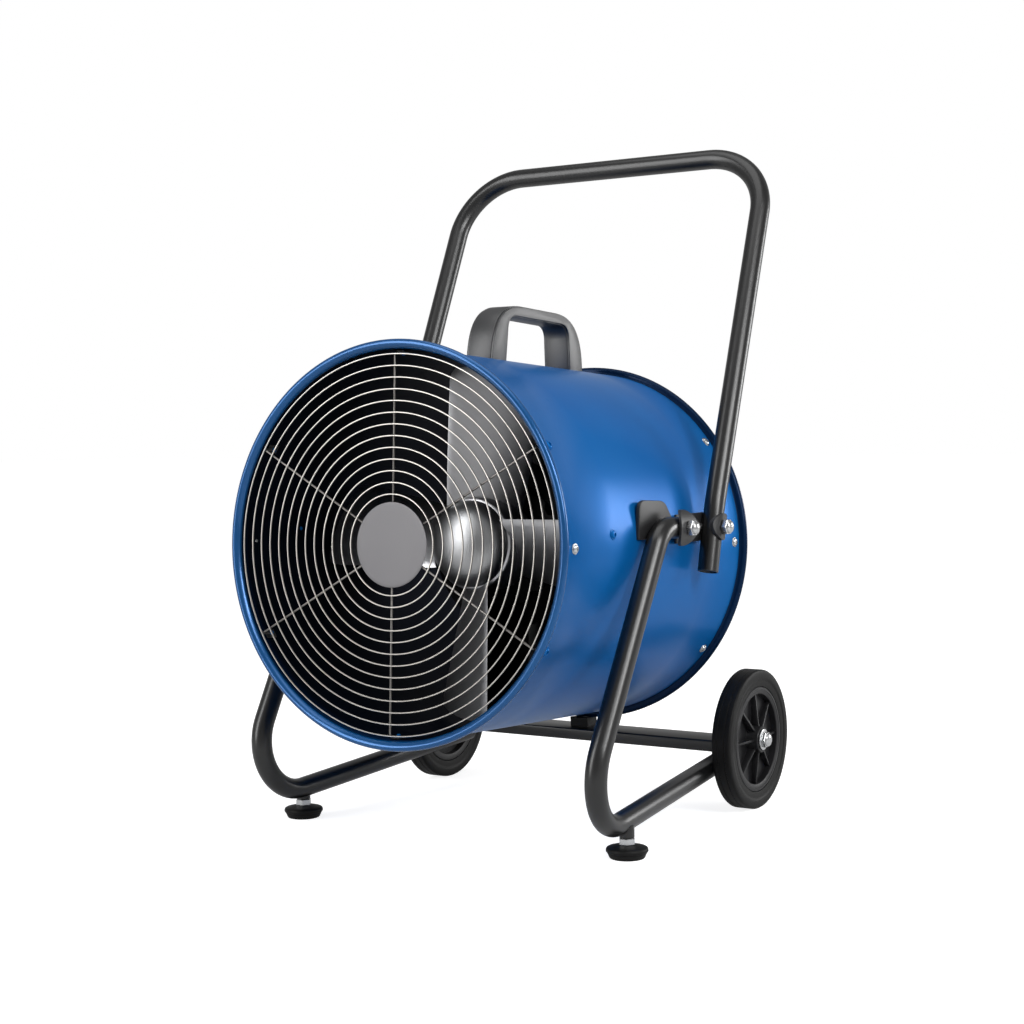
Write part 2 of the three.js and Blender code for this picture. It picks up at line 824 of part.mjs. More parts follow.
function carryScrew(place) {
  const seat = shellRadius - seatGap;
  const end = drumRadius + carryScrewDepth;
  const profile = [
    [0, seat - screwHeadHeight], [screwHeadRadius * headTopShare, seat - screwHeadHeight],
    [screwHeadRadius, seat], [screwShankRadius, seat], [screwShankRadius, end], [0, end],
  ];
  return revolve(profile, screwFacets, 'z').translate(0, place, 0);
}

// Switch box on the drum's hidden lower side, with a rotary knob and a cable gland

function switchCentreY() {
  return switchFront + switchLength / 2;
}

function switchBox() {
  const halfLength = switchLength / 2;
  const halfWidth = switchWidth / 2;
  const corner = switchCornerRadius;
  const shape = new THREE.Shape();
  shape.moveTo(corner - halfLength, -halfWidth);
  shape.lineTo(halfLength - corner, -halfWidth);
  shape.quadraticCurveTo(halfLength, -halfWidth, halfLength, corner - halfWidth);
  shape.lineTo(halfLength, halfWidth - corner);
  shape.quadraticCurveTo(halfLength, halfWidth, halfLength - corner, halfWidth);
  shape.lineTo(corner - halfLength, halfWidth);
  shape.quadraticCurveTo(-halfLength, halfWidth, -halfLength, halfWidth - corner);
  shape.lineTo(-halfLength, corner - halfWidth);
  shape.quadraticCurveTo(-halfLength, -halfWidth, corner - halfLength, -halfWidth);
  const options = {
    depth: switchDepth,
    bevelThickness: switchBevel,
    bevelSize: switchBevel,
    bevelOffset: -switchBevel,
    bevelSegments: 1,
    curveSegments: 3,
  };
  const turn = new THREE.Matrix4().makeBasis(
    new THREE.Vector3(0, 1, 0), new THREE.Vector3(0, 0, 1), new THREE.Vector3(1, 0, 0));
  const box = new THREE.ExtrudeGeometry(shape, options).applyMatrix4(turn);
  box.translate(drumRadius - switchBevel, switchCentreY(), 0);
  const face = drumRadius + switchDepth;
  const spindleBore = rod(
    spindleRadius + boltClearance, face - spindleDepth - seatGap, face + overrun, knobFacets, 'x');
  const glandBore = rod(
    glandNeckRadius + boltClearance, switchLength / 2 - glandThreadLength - seatGap, switchLength, knobFacets, 'y');
  glandBore.translate(drumRadius + switchDepth / 2, switchCentreY(), 0);
  const body = cut(
    box, drumEnvelope(drumRadius + seatGap), spindleBore.translate(0, switchCentreY(), 0), glandBore);
  return swung(body, switchAngle);
}

function switchKnob() {
  const face = drumRadius + switchDepth + seatGap;
  const top = face + knobHeight;
  const profile = [
    [0, face - spindleDepth], [spindleRadius, face - spindleDepth], [spindleRadius, face], [knobRadius, face],
    [knobRadius - knobDraft, top], [0, top],
  ];
  const grip = block(
    top - knobRibHeight, top + knobRibHeight, -knobRadius + knobDraft, knobRadius - knobDraft,
    -knobRibWidth / 2, knobRibWidth / 2);
  const knob = joined(revolve(profile, knobFacets, 'x'), grip);
  return swung(knob.translate(0, switchCentreY(), 0), switchAngle);
}

function cableGland() {
  const seat = switchLength / 2 + seatGap;
  const hexEnd = seat + glandHexLength;
  const neckEnd = hexEnd + glandNeckLength;
  const hex = hexRod(glandHexFlats, seat, hexEnd, 'y');
  const profile = [
    [0, seat - glandThreadLength], [glandNeckRadius, seat - glandThreadLength],
    [glandNeckRadius, neckEnd - glandBoreRadius], [glandNeckRadius - glandBoreRadius / 2, neckEnd], [0, neckEnd],
  ];
  const bore = rod(glandBoreRadius, neckEnd - glandBoreDepth, neckEnd + overrun, screwFacets, 'y');
  const gland = cut(joined(hex, revolve(profile, knobFacets, 'y')), bore);
  return swung(gland.translate(drumRadius + switchDepth / 2, switchCentreY(), 0), switchAngle);
}

// Pivot bracket: a plate fitted to the drum, with its stud welded on

function pivotBracket(side) {
  const shape = new THREE.Shape();
  shape.moveTo(-bracketNose, -bracketBottom);
  shape.lineTo(-bracketNose, bracketTop - bracketCornerRadius);
  shape.quadraticCurveTo(-bracketNose, bracketTop, bracketCornerRadius - bracketNose, bracketTop);
  shape.lineTo(-bracketShoulder - bracketCornerRadius, bracketTop);
  shape.quadraticCurveTo(-bracketShoulder, bracketTop, 0, bracketLugRadius * Math.SQRT2);
  shape.lineTo(bracketLugRadius * Math.SQRT1_2, bracketLugRadius * Math.SQRT1_2);
  shape.absarc(0, 0, bracketLugRadius, Math.PI / 4, -Math.PI / 3, true);
  shape.lineTo(-bracketLugRadius, -bracketBottom);
  const plate = sidePlate(shape, drumRadius - overrun, bracketOuterX, carryCurveSteps);
  const drum = drumEnvelope(drumRadius + seatGap).translate(0, 0, -axisDrop);
  const stud = rod(
    pivotStudRadius, bracketOuterX - weldDepth, tiltSaddleX + saddleThickness + seatGap + capNutHex, 8, 'x');
  return mirrored(joined(cut(plate, drum), stud), side);
}

// A bent washer between a tube and its nut; lean turns its bend round the bolt
function saddle(discRadius, curve, lean) {
  const shell = sleeve(curve, curve + saddleThickness, -discRadius - overrun, discRadius + overrun, 20, 'z');
  const disc = rod(discRadius, curve / 2, curve + saddleThickness + overrun, 16, 'x');
  const bore = rod(boltBoreRadius, 0, curve + saddleThickness + overrun, 12, 'x');
  shell.rotateX(lean);
  return cut(common(shell, disc), bore).translate(-curve, 0, 0);
}

function capNut(flats, hex, dome, studRadius) {
  const waist = flats / 2 - seatGap;
  const shoulder = Math.PI / 4;
  const profile = [
    [0, 0], [waist, 0], [waist, hex],
    [waist * Math.cos(shoulder), hex + dome * Math.sin(shoulder)], [0, hex + dome],
  ];
  const bore = rod(studRadius + boltClearance, -overrun, hex + dome - capNutWall, 12, 'x');
  return cut(joined(hexRod(flats, 0, hex, 'x'), revolve(profile, nutFacets, 'x')), bore);
}

// Side frame: tube, foot boss, and the tab and stud that carry the push handle

function sideFrame(side) {
  const tail = new THREE.Vector3(tubeTailX, wheelAxleReach, tubeTailHeight);
  const lower = new THREE.Vector3(lowerBendX, -lowerBendReach, lowerBendHeight);
  const overhang = tail.clone().sub(lower).setLength(tubeTailOverhang);
  const corners = [
    new THREE.Vector3(frameTopX, stubLength, pivotHeight - stubDrop),
    new THREE.Vector3(frameTopX, -upperBendReach, pivotHeight + upperBendRise),
    lower,
    tail.add(overhang),
  ];
  const tube = pluggedTube(corners, [upperBendRadius, lowerBendRadius]);
  const boss = rod(
    footBossRadius, footBossBase, footTubeHeight - footBossSink, tubeFacets, 'z').translate(footX, -footReach, 0);
  const tabOuter = handleX - tubeRadius - seatGap;
  const tabInner = tabOuter - tabThickness;
  const shape = new THREE.Shape();
  shape.moveTo(stubLength - tabOverlap, -tabHeight / 2);
  shape.lineTo(handlePivotReach, -tabHeight / 2);
  shape.absarc(handlePivotReach, 0, tabHeight / 2, -Math.PI / 2, Math.PI / 2, false);
  shape.lineTo(stubLength - tabOverlap, tabHeight / 2);
  const tab = sidePlate(shape, tabInner, tabOuter, carryCurveSteps).translate(0, 0, handlePivotHeight);
  const weld = block(
    tabInner, tabOuter + tabWeldDepth, stubLength - tabOverlap, stubLength - tubePlugThickness,
    handlePivotHeight - tabHeight / 4, handlePivotHeight + tabHeight / 4);
  const stud = rod(
    handleStudRadius, tabOuter - weldDepth, handleSaddleX + saddleThickness + seatGap + capNutHex, 8, 'x');
  stud.translate(0, handlePivotReach, handlePivotHeight);
  const pivotHole = rod(boltBoreRadius, tabInner, frameTopX + 2 * tubeRadius, 12, 'x').translate(0, 0, pivotHeight);
  const footHole = rod(footStudRadius + boltClearance, 0, footStudTop + seatGap, 12, 'z');
  footHole.translate(footX, -footReach, 0);
  return mirrored(cut(joined(tube, boss, tab, weld, stud), pivotHole, footHole), side);
}

// Cross bar with its axle lugs, in the frame of the sloping lower tubes

function axlePlaceOnBar() {
  const place = new THREE.Vector3(0, wheelAxleReach, axleHeight);
  return place.applyMatrix4(barFrame.clone().invert());
}

function crossBar() {
  const under = tubeRadius + seatGap;
  const top = under + barThickness;
  const back = barOverhang - barDepth;
  const axle = axlePlaceOnBar();
  let bar = block(-lugOuterX, lugOuterX, back, barOverhang, under, top);
  for (const side of [1, -1]) {
    const shape = new THREE.Shape();
    shape.moveTo(back, under);
    shape.lineTo(axle.y, axle.z - lugRadius);
    shape.absarc(axle.y, axle.z, lugRadius, -Math.PI / 2, Math.PI / 2, false);
    shape.lineTo(back, top);
    const lug = sidePlate(shape, lugInnerX, lugOuterX, carryCurveSteps);
    const hole = rod(axleRadius + boltClearance, lugInnerX, lugOuterX + overrun, 12, 'x').translate(0, axle.y, axle.z);
    bar = cut(joined(bar, mirrored(lug, side)), mirrored(hole, side));
  }
  return bar;
}

function tiltStop() {
  const under = tubeRadius + seatGap + barThickness + seatGap;
  const rear = barOverhang - stopSetback;
  const rubber = block(-stopWidth / 2, stopWidth / 2, rear - stopLength, rear, under, under + stopHeight);
  const drum = drumEnvelope(drumRadius + 2 * rimBeadRadius + seatGap);
  drum.applyMatrix4(axisFrame).applyMatrix4(drumFrame).applyMatrix4(barFrame.clone().invert());
  return cut(rubber, drum);
}

// Axle and wheel pieces, built on the wheel's own centre line

function axle(side) {
  const inner = lugInnerX + seatGap;
  const collarEnd = axleCollarX + axleCollarWidth;
  const end = axleNutX + axleNutHex;
  const profile = [
    [0, inner], [axleRadius, inner], [axleRadius, axleCollarX], [axleCollarRadius, axleCollarX],
    [axleCollarRadius, collarEnd], [axleRadius, collarEnd], [axleRadius, end], [0, end],
  ];
  return revolve(profile, 12, 'x', side);
}

function tyre(side) {
  const inner = wheelRadius - tyreSectionHeight;
  const half = [
    [inner, tyreFlankHollow], [wheelRadius - 4 * tyreCrownEase, tyreFlankDepth],
    [wheelRadius - tyreCrownEase, tyreFlankEase], [wheelRadius, tyreShoulder],
  ];
  const other = half.map(([radius, across]) => [radius, wheelWidth - across]).reverse();
  const profile = [...half, ...other].map(([radius, across]) => [radius, wheelInnerX + across]);
  return revolve(profile, wheelFacets, 'x', side);
}

function wheelRim(side) {
  const bandInner = rimOuterRadius - rimBandThickness;
  const bandStart = wheelInnerX + rimBandInset;
  const bandEnd = wheelOuterX - rimBandInset;
  const webStart = bandEnd - rimWebDepth;
  const webEnd = webStart + rimWebThickness;
  const bore = bushOuterRadius + seatGap;
  const profile = [
    [bore, hubInnerX], [rimHubRadius, hubInnerX], [rimHubRadius, webStart], [bandInner, webStart],
    [bandInner, bandStart], [rimOuterRadius, bandStart], [rimOuterRadius, bandEnd],
    [bandInner, bandEnd], [bandInner, webEnd], [rimHubRadius, webEnd], [rimHubRadius, hubOuterX],
    [bore, hubOuterX],
  ];
  const ribs = [];
  for (let i = 0; i < rimRibCount; i += 1) {
    const rib = block(
      webEnd - rimWebThickness / 2, bandEnd - rimRibDrop, -rimRibThickness / 2, rimRibThickness / 2,
      rimHubRadius - rimRibThickness / 2, bandInner + rimRibThickness / 2);
    ribs.push(mirrored(rib.rotateX(2 * Math.PI * i / rimRibCount), side));
  }
  return joined(revolve(profile, wheelFacets, 'x', side), ...ribs);
}

function wheelBush(side) {
  return sleeve(bushBore, bushOuterRadius, hubInnerX, hubOuterX, 12, 'x', side);
}

function axleWasher(side) {
  return sleeve(bushBore, washerRadius, axleWasherX, axleWasherX + washerThickness, 12, 'x', side);
}

// Foot pieces on the stud's centre line

function footPad() {
  const bore = footStudRadius + boltClearance;
  const profile = [
    [0, 0], [footPadSole, 0], [footPadRadius, footPadRim], [footPadRadius, footPadShoulder],
    [footPadCrown, footPadEdge], [footPadNeck, footPadHeight], [bore, footPadHeight], [bore, footPadFloor], [0, footPadFloor],
  ];
  return revolve(profile, 16, 'z');
}

function footNut() {
  const hex = hexRod(footNutFlats, footNutBase, footNutBase + footNutHeight, 'z');
  return cut(hex, rod(footStudRadius + boltClearance, 0, footStudTop, 12, 'z'));
}

// Push handle: one tube, bent at its knees and its two top corners

function pushHandle() {
  const half = (side) => [
    new THREE.Vector3(
      side * handleX, handlePivotReach - handleTailSweep, handlePivotHeight - handleTailLength),
    new THREE.Vector3(side * handleX, handleKneeReach, handleKneeHeight),
    new THREE.Vector3(side * (handleX - handleTopInset), handleTopReach, handleTopHeight),
  ];
  const corners = [...half(1), ...half(-1).reverse()];
  const radii = [handleKneeRadius, handleTopRadius, handleTopRadius, handleKneeRadius];
  const tube = pluggedTube(corners, radii);
  const holes = [1, -1].map((side) => {
    const hole = rod(handleStudRadius + boltClearance, handleX - 2 * tubeRadius, handleX + 2 * tubeRadius, 12, 'x', side);
    return hole.translate(0, handlePivotReach, handlePivotHeight);
  });
  return cut(tube, ...holes);
}

// Assembly

const blower = new THREE.Group();
const drumGroup = new THREE.Group();
drumGroup.applyMatrix4(drumFrame);
const axisGroup = new THREE.Group();
axisGroup.applyMatrix4(axisFrame);
const barGroup = new THREE.Group();
barGroup.applyMatrix4(barFrame);
blower.add(drumGroup, barGroup);
drumGroup.add(axisGroup);

function placed(mesh, x, y, z) {
  mesh.position.set(x, y, z);
  return mesh;
}

barGroup.add(named('cross_bar', crossBar(), 'black'));
barGroup.add(named('tilt_stop', tiltStop(), 'rubber'));
blower.add(named('push_handle', pushHandle(), 'black'));

const handleLean = -Math.atan2(handleTailSweep, handleTailLength);
const tubeLean = Math.PI / 2 - Math.atan2(stubDrop, stubLength);
for (const [side, word] of [[1, 'right'], [-1, 'left']]) {
  blower.add(named(`side_frame_${word}`, sideFrame(side), 'black'));

  const tiltSaddle = mirrored(saddle(tiltSaddleRadius, tiltSaddleCurve, tubeLean), side);
  blower.add(placed(named(`tilt_saddle_${word}`, tiltSaddle, 'black'), side * tiltSaddleX, 0, pivotHeight));
  const tiltNutX = tiltSaddleX + saddleThickness + seatGap;
  const tiltNut = mirrored(capNut(capNutFlats, capNutHex, capNutDome, pivotStudRadius), side);
  drumGroup.add(placed(named(`tilt_nut_${word}`, tiltNut, 'zinc'), side * tiltNutX, 0, 0));
  drumGroup.add(named(`pivot_bracket_${word}`, pivotBracket(side), 'black'));

  const handleSaddle = mirrored(saddle(handleSaddleRadius, handleSaddleCurve, handleLean), side);
  blower.add(placed(
    named(`handle_saddle_${word}`, handleSaddle, 'black'),
    side * handleSaddleX, handlePivotReach, handlePivotHeight));
  const handleNutX = handleSaddleX + saddleThickness + seatGap;
  const handleNut = mirrored(capNut(capNutFlats, capNutHex, capNutDome, handleStudRadius), side);
  blower.add(placed(
    named(`handle_nut_${word}`, handleNut, 'zinc'), side * handleNutX, handlePivotReach, handlePivotHeight));

  const wheelPieces = [
    named(`axle_${word}`, axle(side), 'zinc'),
    named(`tyre_${word}`, tyre(side), 'rubber'),
    named(`wheel_rim_${word}`, wheelRim(side), 'plastic'),
    named(`wheel_bush_${word}`, wheelBush(side), 'grey'),
    named(`axle_washer_${word}`, axleWasher(side), 'zinc'),
  ];
  for (const piece of wheelPieces) {
    blower.add(placed(piece, 0, wheelAxleReach, axleHeight));
  }
  const axleNut = mirrored(capNut(axleNutFlats, axleNutHex, axleNutDome, axleRadius), side);
  blower.add(placed(named(`axle_nut_${word}`, axleNut, 'zinc'), side * axleNutX, wheelAxleReach, axleHeight));

  const footStud = rod(footStudRadius, footPadFloor + seatGap, footStudTop, 8, 'z');
  blower.add(placed(named(`foot_pad_${word}`, footPad(), 'rubber'), side * footX, -footReach, 0));
  blower.add(placed(named(`foot_stud_${word}`, footStud, 'zinc'), side * footX, -footReach, 0));
  blower.add(placed(named(`foot_nut_${word}`, footNut(), 'zinc'), side * footX, -footReach, 0));
}

axisGroup.add(named('drum_shell', drumShell(), 'blue'));
axisGroup.add(named('front_guard', frontGuard(), 'wire'));
axisGroup.add(named('guard_disc', guardDisc(), 'grey'));
axisGroup.add(named('rear_guard', rearGuard(), 'wire'));
frontSpokeAngles.forEach((angle, i) => {
  axisGroup.add(named(`front_screw_${i + 1}`, guardScrew(angle, frontScrewDepth - noseLength), 'zinc'));
});
rearSpokeAngles.forEach((angle, i) => {
  axisGroup.add(named(`rear_screw_${i + 1}`, guardScrew(angle, tailLength - rearScrewDepth), 'zinc'));
});
axisGroup.add(named('impeller', impeller(), 'aluminium'));
axisGroup.add(named('hub_cap', hubCap(), 'aluminium'));
const shaft = rod(shaftRadius, shaftFront, shaftRear, shaftFacets, 'y');
axisGroup.add(named('motor_shaft', shaft, 'zinc'));
axisGroup.add(named('motor_housing', motorHousing(), 'castGrey'));
axisGroup.add(named('motor_spider', motorSpider(), 'black'));
axisGroup.add(named('carry_handle', carryHandle(), 'darkPlastic'));
carryScrewPlaces().forEach((place, i) => {
  axisGroup.add(named(`carry_screw_${i + 1}`, carryScrew(place), 'zinc'));
});
axisGroup.add(named('switch_box', switchBox(), 'darkPlastic'));
axisGroup.add(named('switch_knob', switchKnob(), 'plastic'));
axisGroup.add(named('cable_gland', cableGland(), 'plastic'));

// The whole stands on the floor with its outer box centred on the vertical axis
const centre = new THREE.Box3().setFromObject(blower).getCenter(new THREE.Vector3());
blower.position.set(-centre.x, -centre.y, 0);

export default blower;
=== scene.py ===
import bpy, bmesh, json, math
from mathutils import Matrix, Vector


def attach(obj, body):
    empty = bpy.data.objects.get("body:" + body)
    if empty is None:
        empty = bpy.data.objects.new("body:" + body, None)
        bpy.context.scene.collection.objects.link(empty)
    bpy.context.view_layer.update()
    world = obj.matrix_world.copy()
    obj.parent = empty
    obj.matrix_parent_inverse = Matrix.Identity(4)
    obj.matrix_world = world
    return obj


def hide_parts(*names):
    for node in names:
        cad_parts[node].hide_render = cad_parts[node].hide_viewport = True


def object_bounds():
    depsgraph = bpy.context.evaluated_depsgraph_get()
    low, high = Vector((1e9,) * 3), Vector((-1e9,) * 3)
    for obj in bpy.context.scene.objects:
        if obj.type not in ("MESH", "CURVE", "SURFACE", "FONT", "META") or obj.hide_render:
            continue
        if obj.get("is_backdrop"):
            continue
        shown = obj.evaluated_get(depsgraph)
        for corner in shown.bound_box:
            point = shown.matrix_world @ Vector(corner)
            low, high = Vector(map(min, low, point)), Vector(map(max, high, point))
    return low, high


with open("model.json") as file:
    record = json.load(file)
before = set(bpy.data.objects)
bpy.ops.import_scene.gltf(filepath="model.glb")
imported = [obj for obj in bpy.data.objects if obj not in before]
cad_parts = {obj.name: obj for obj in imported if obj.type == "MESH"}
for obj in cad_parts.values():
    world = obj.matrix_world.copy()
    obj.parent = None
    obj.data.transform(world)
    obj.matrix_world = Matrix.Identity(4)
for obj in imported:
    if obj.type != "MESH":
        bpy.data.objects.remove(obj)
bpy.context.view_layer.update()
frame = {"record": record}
print("frame loaded")

# Spaces. The shapes below are in millimetres, placed by these matrices

joints = {joint["name"]: joint for joint in frame["record"]["behaviour"]["joints"]}
tiltPivot = Vector(joints["drum_tilt"]["pos_m"])
toMetres = Matrix.Scale(0.001, 4)
restTilt = math.radians(2.85)
axisDrop = 23  # the drum's axis under its pivots
axleSpot = (0, 205, 87.5)
barFront, barRear = (-238, 30.5), (205, 62.5)  # (y, z) on the line that the lower tubes follow
floorSpace = Matrix.Translation((0, tiltPivot.y, 0)) @ toMetres
pivotSpace = Matrix.Translation(tiltPivot) @ Matrix.Rotation(-restTilt, 4, "X") @ toMetres
drumSpace = pivotSpace @ Matrix.Translation((0, 0, -axisDrop))
barSlope = math.atan2(barRear[1] - barFront[1], barRear[0] - barFront[0])
barSpace = floorSpace @ Matrix.Translation((0, *barRear)) @ Matrix.Rotation(barSlope, 4, "X")
wheelSpace = floorSpace @ Matrix.Translation(axleSpot)


# Shader maths as expressions

def feed(tree, socket, value):
    if isinstance(value, Wire):
        tree.links.new(value.socket, socket)
        return
    if socket.type == "RGBA":
        value = (*value, 1)
    socket.default_value = value


def addNode(tree, kind, settings, sockets, result):
    made = tree.nodes.new("ShaderNode" + kind)
    for key, value in settings.items():
        setattr(made, key, value)
    for key, value in sockets.items():
        feed(tree, made.inputs[key], value)
    return Wire(tree, made.outputs[result])


class Wire:
    def __init__(self, tree, socket):
        self.tree = tree
        self.socket = socket

    def maths(self, operation, *values):
        return addNode(self.tree, "Math", {"operation": operation}, dict(enumerate(values)), 0)

    def __add__(self, other):
        return self.maths("ADD", self, other)

    def __radd__(self, other):
        return self.maths("ADD", other, self)

    def __sub__(self, other):
        return self.maths("SUBTRACT", self, other)

    def __rsub__(self, other):
        return self.maths("SUBTRACT", other, self)

    def __mul__(self, other):
        return self.maths("MULTIPLY", self, other)

    def __rmul__(self, other):
        return self.maths("MULTIPLY", other, self)

    def __abs__(self):
        return self.maths("ABSOLUTE", self)

    def clamped(self):
        return self.maths("MINIMUM", self.maths("MAXIMUM", self, 0), 1)

    # From 0 at low to 1 at high, which may be the smaller one
    def ramp(self, low, high):
        sockets = {"Value": self, "From Min": low, "From Max": high}
        return addNode(self.tree, "MapRange", {"interpolation_type": "SMOOTHSTEP"}, sockets, "Result")


class Look:
    def __init__(self, name):
        self.material = bpy.data.materials.new(name)
        self.material.use_nodes = True
        self.tree = self.material.node_tree
        self.tree.nodes.clear()
        self.output = self.tree.nodes.new("ShaderNodeOutputMaterial")
        self.place = self.node("TexCoord", {}, {}, "Object")

    def node(self, kind, settings, sockets, result):
        return addNode(self.tree, kind, settings, sockets, result)

    def noise(self, scale, detail=2, roughness=0.5, place=None):
        sockets = {"Vector": place or self.place, "Scale": scale, "Detail": detail, "Roughness": roughness}
        return self.node("TexNoise", {}, sockets, "Fac")

    def stretched(self, x, y, z):
        return self.node("VectorMath", {"operation": "MULTIPLY"}, {0: self.place, 1: (x, y, z)}, "Vector")

    def part(self, axis):
        return self.node("SeparateXYZ", {}, {0: self.place}, axis)

    def mixed(self, share, first, second):
        return self.node("Mix", {"data_type": "RGBA"}, {0: share, 6: first, 7: second}, 2)

    # 1 on edges and corners, 0 on flat faces; width is how far the mask reaches
    def edges(self, width):
        bevel = self.node("Bevel", {"samples": 6}, {"Radius": width}, "Normal")
        face = self.node("NewGeometry", {}, {}, "Normal")
        dot = self.node("VectorMath", {"operation": "DOT_PRODUCT"}, {0: bevel, 1: face}, "Value")
        return (1 - dot).ramp(0.01, 0.12)

    def bumped(self, height, strength, distance):
        return self.node("Bump", {}, {"Height": height, "Strength": strength, "Distance": distance}, "Normal")

    def finish(self, sockets):
        shader = self.node("BsdfPrincipled", {}, sockets, 0)
        feed(self.tree, self.output.inputs["Surface"], shader)
        return self.material


# Paints and metals

def glossCoat(name, colour, deep, metallic, roughness, coat, level=0.2, tint=(1, 1, 1), shadeInside=False):
    look = Look(name)
    drift = look.noise(6, 2)
    flake = look.noise(2600, 1)
    peel = look.noise(420, 2)
    tone = look.mixed(drift.ramp(0.3, 0.7), colour, deep)
    # painted shade: the lining darkens to near black away from both mouths, standing in for the shade deep
    # inside the drum
    if shadeInside:  # the lining goes dark away from both mouths of the drum
        middle, mouth, dark = tiltPivot.y - 0.014, 0.242, 0.205
        depth = abs(look.part("Y") - middle).ramp(mouth, dark)
        tone = look.mixed(depth, tone, (0.0015, 0.003, 0.007))
    dust = look.noise(90, 4, 0.7).ramp(0.55, 0.8)
    height = peel * 0.7 + flake * 0.1
    return look.finish({
        "Base Color": tone, "Metallic": metallic, "Roughness": roughness + dust * 0.04,
        "Specular IOR Level": level, "Specular Tint": tint,
        "Coat Weight": coat, "Coat Roughness": 0.2, "Normal": look.bumped(height, 0.05, 0.0004),
    })


def blackCoat(name, tone, roughness, level):
    look = Look(name)
    grain = look.noise(1500, 2)
    peel = look.noise(260, 3)
    scuff = look.noise(35, 5, 0.65).ramp(0.56, 0.78)
    worn = look.edges(0.0012) * look.noise(60, 3).ramp(0.5, 0.7)
    colour = look.mixed(scuff * 0.25, (tone, tone, tone * 1.06), (tone * 1.9, tone * 1.9, tone * 2))
    colour = look.mixed(worn * 0.25, colour, (0.09, 0.09, 0.09))
    return look.finish({
        "Base Color": colour, "Roughness": roughness + scuff * 0.07 + peel * 0.05,
        "Specular IOR Level": level, "Normal": look.bumped(grain * 0.3 + peel, 0.05, 0.0002),
    })


def brightMetal(name, colour, dull, roughness, lines=None, wear=0.2):
    look = Look(name)
    cloud = look.noise(30, 4, 0.6)
    if lines:
        streak = look.noise(1, 3, 0.7, look.stretched(*lines))
    else:
        streak = look.noise(900, 3, 0.7)
    tone = look.mixed(cloud.ramp(0.35, 0.75) * wear + streak * 0.15, colour, dull)
    return look.finish({
        "Base Color": tone, "Metallic": 1.0, "Roughness": roughness + streak * 0.08 + cloud * 0.06,
        "Normal": look.bumped(streak, 0.08, 0.0002),
    })


def mouldedPlastic(name, tone, roughness, level=0.3, grainScale=700, grain=0.25):
    look = Look(name)
    spark = look.noise(grainScale, 2)
    cloud = look.noise(14, 3)
    edge = look.edges(0.0015)
    colour = look.mixed(cloud.ramp(0.3, 0.7), tone, tuple(c * 1.25 for c in tone))
    colour = look.mixed(edge * 0.35, colour, tuple(min(1, c * 2.2 + 0.01) for c in tone))
    return look.finish({
        "Base Color": colour, "Roughness": roughness + spark * 0.1 - edge * 0.08, "Specular IOR Level": level,
        "Normal": look.bumped(spark, grain, 0.0003),
    })


def softRubber(name, tone, roughness):
    look = Look(name)
    grain = look.noise(1200, 3, 0.7)
    bloom = look.noise(22, 4, 0.6).ramp(0.5, 0.8)
    colour = look.mixed(bloom * 0.4, (tone, tone, tone), (tone * 2.4, tone * 2.35, tone * 2.3))
    return look.finish({
        "Base Color": colour, "Roughness": roughness + bloom * 0.1, "Specular IOR Level": 0.16,
        "Normal": look.bumped(grain, 0.3, 0.0003),
    })


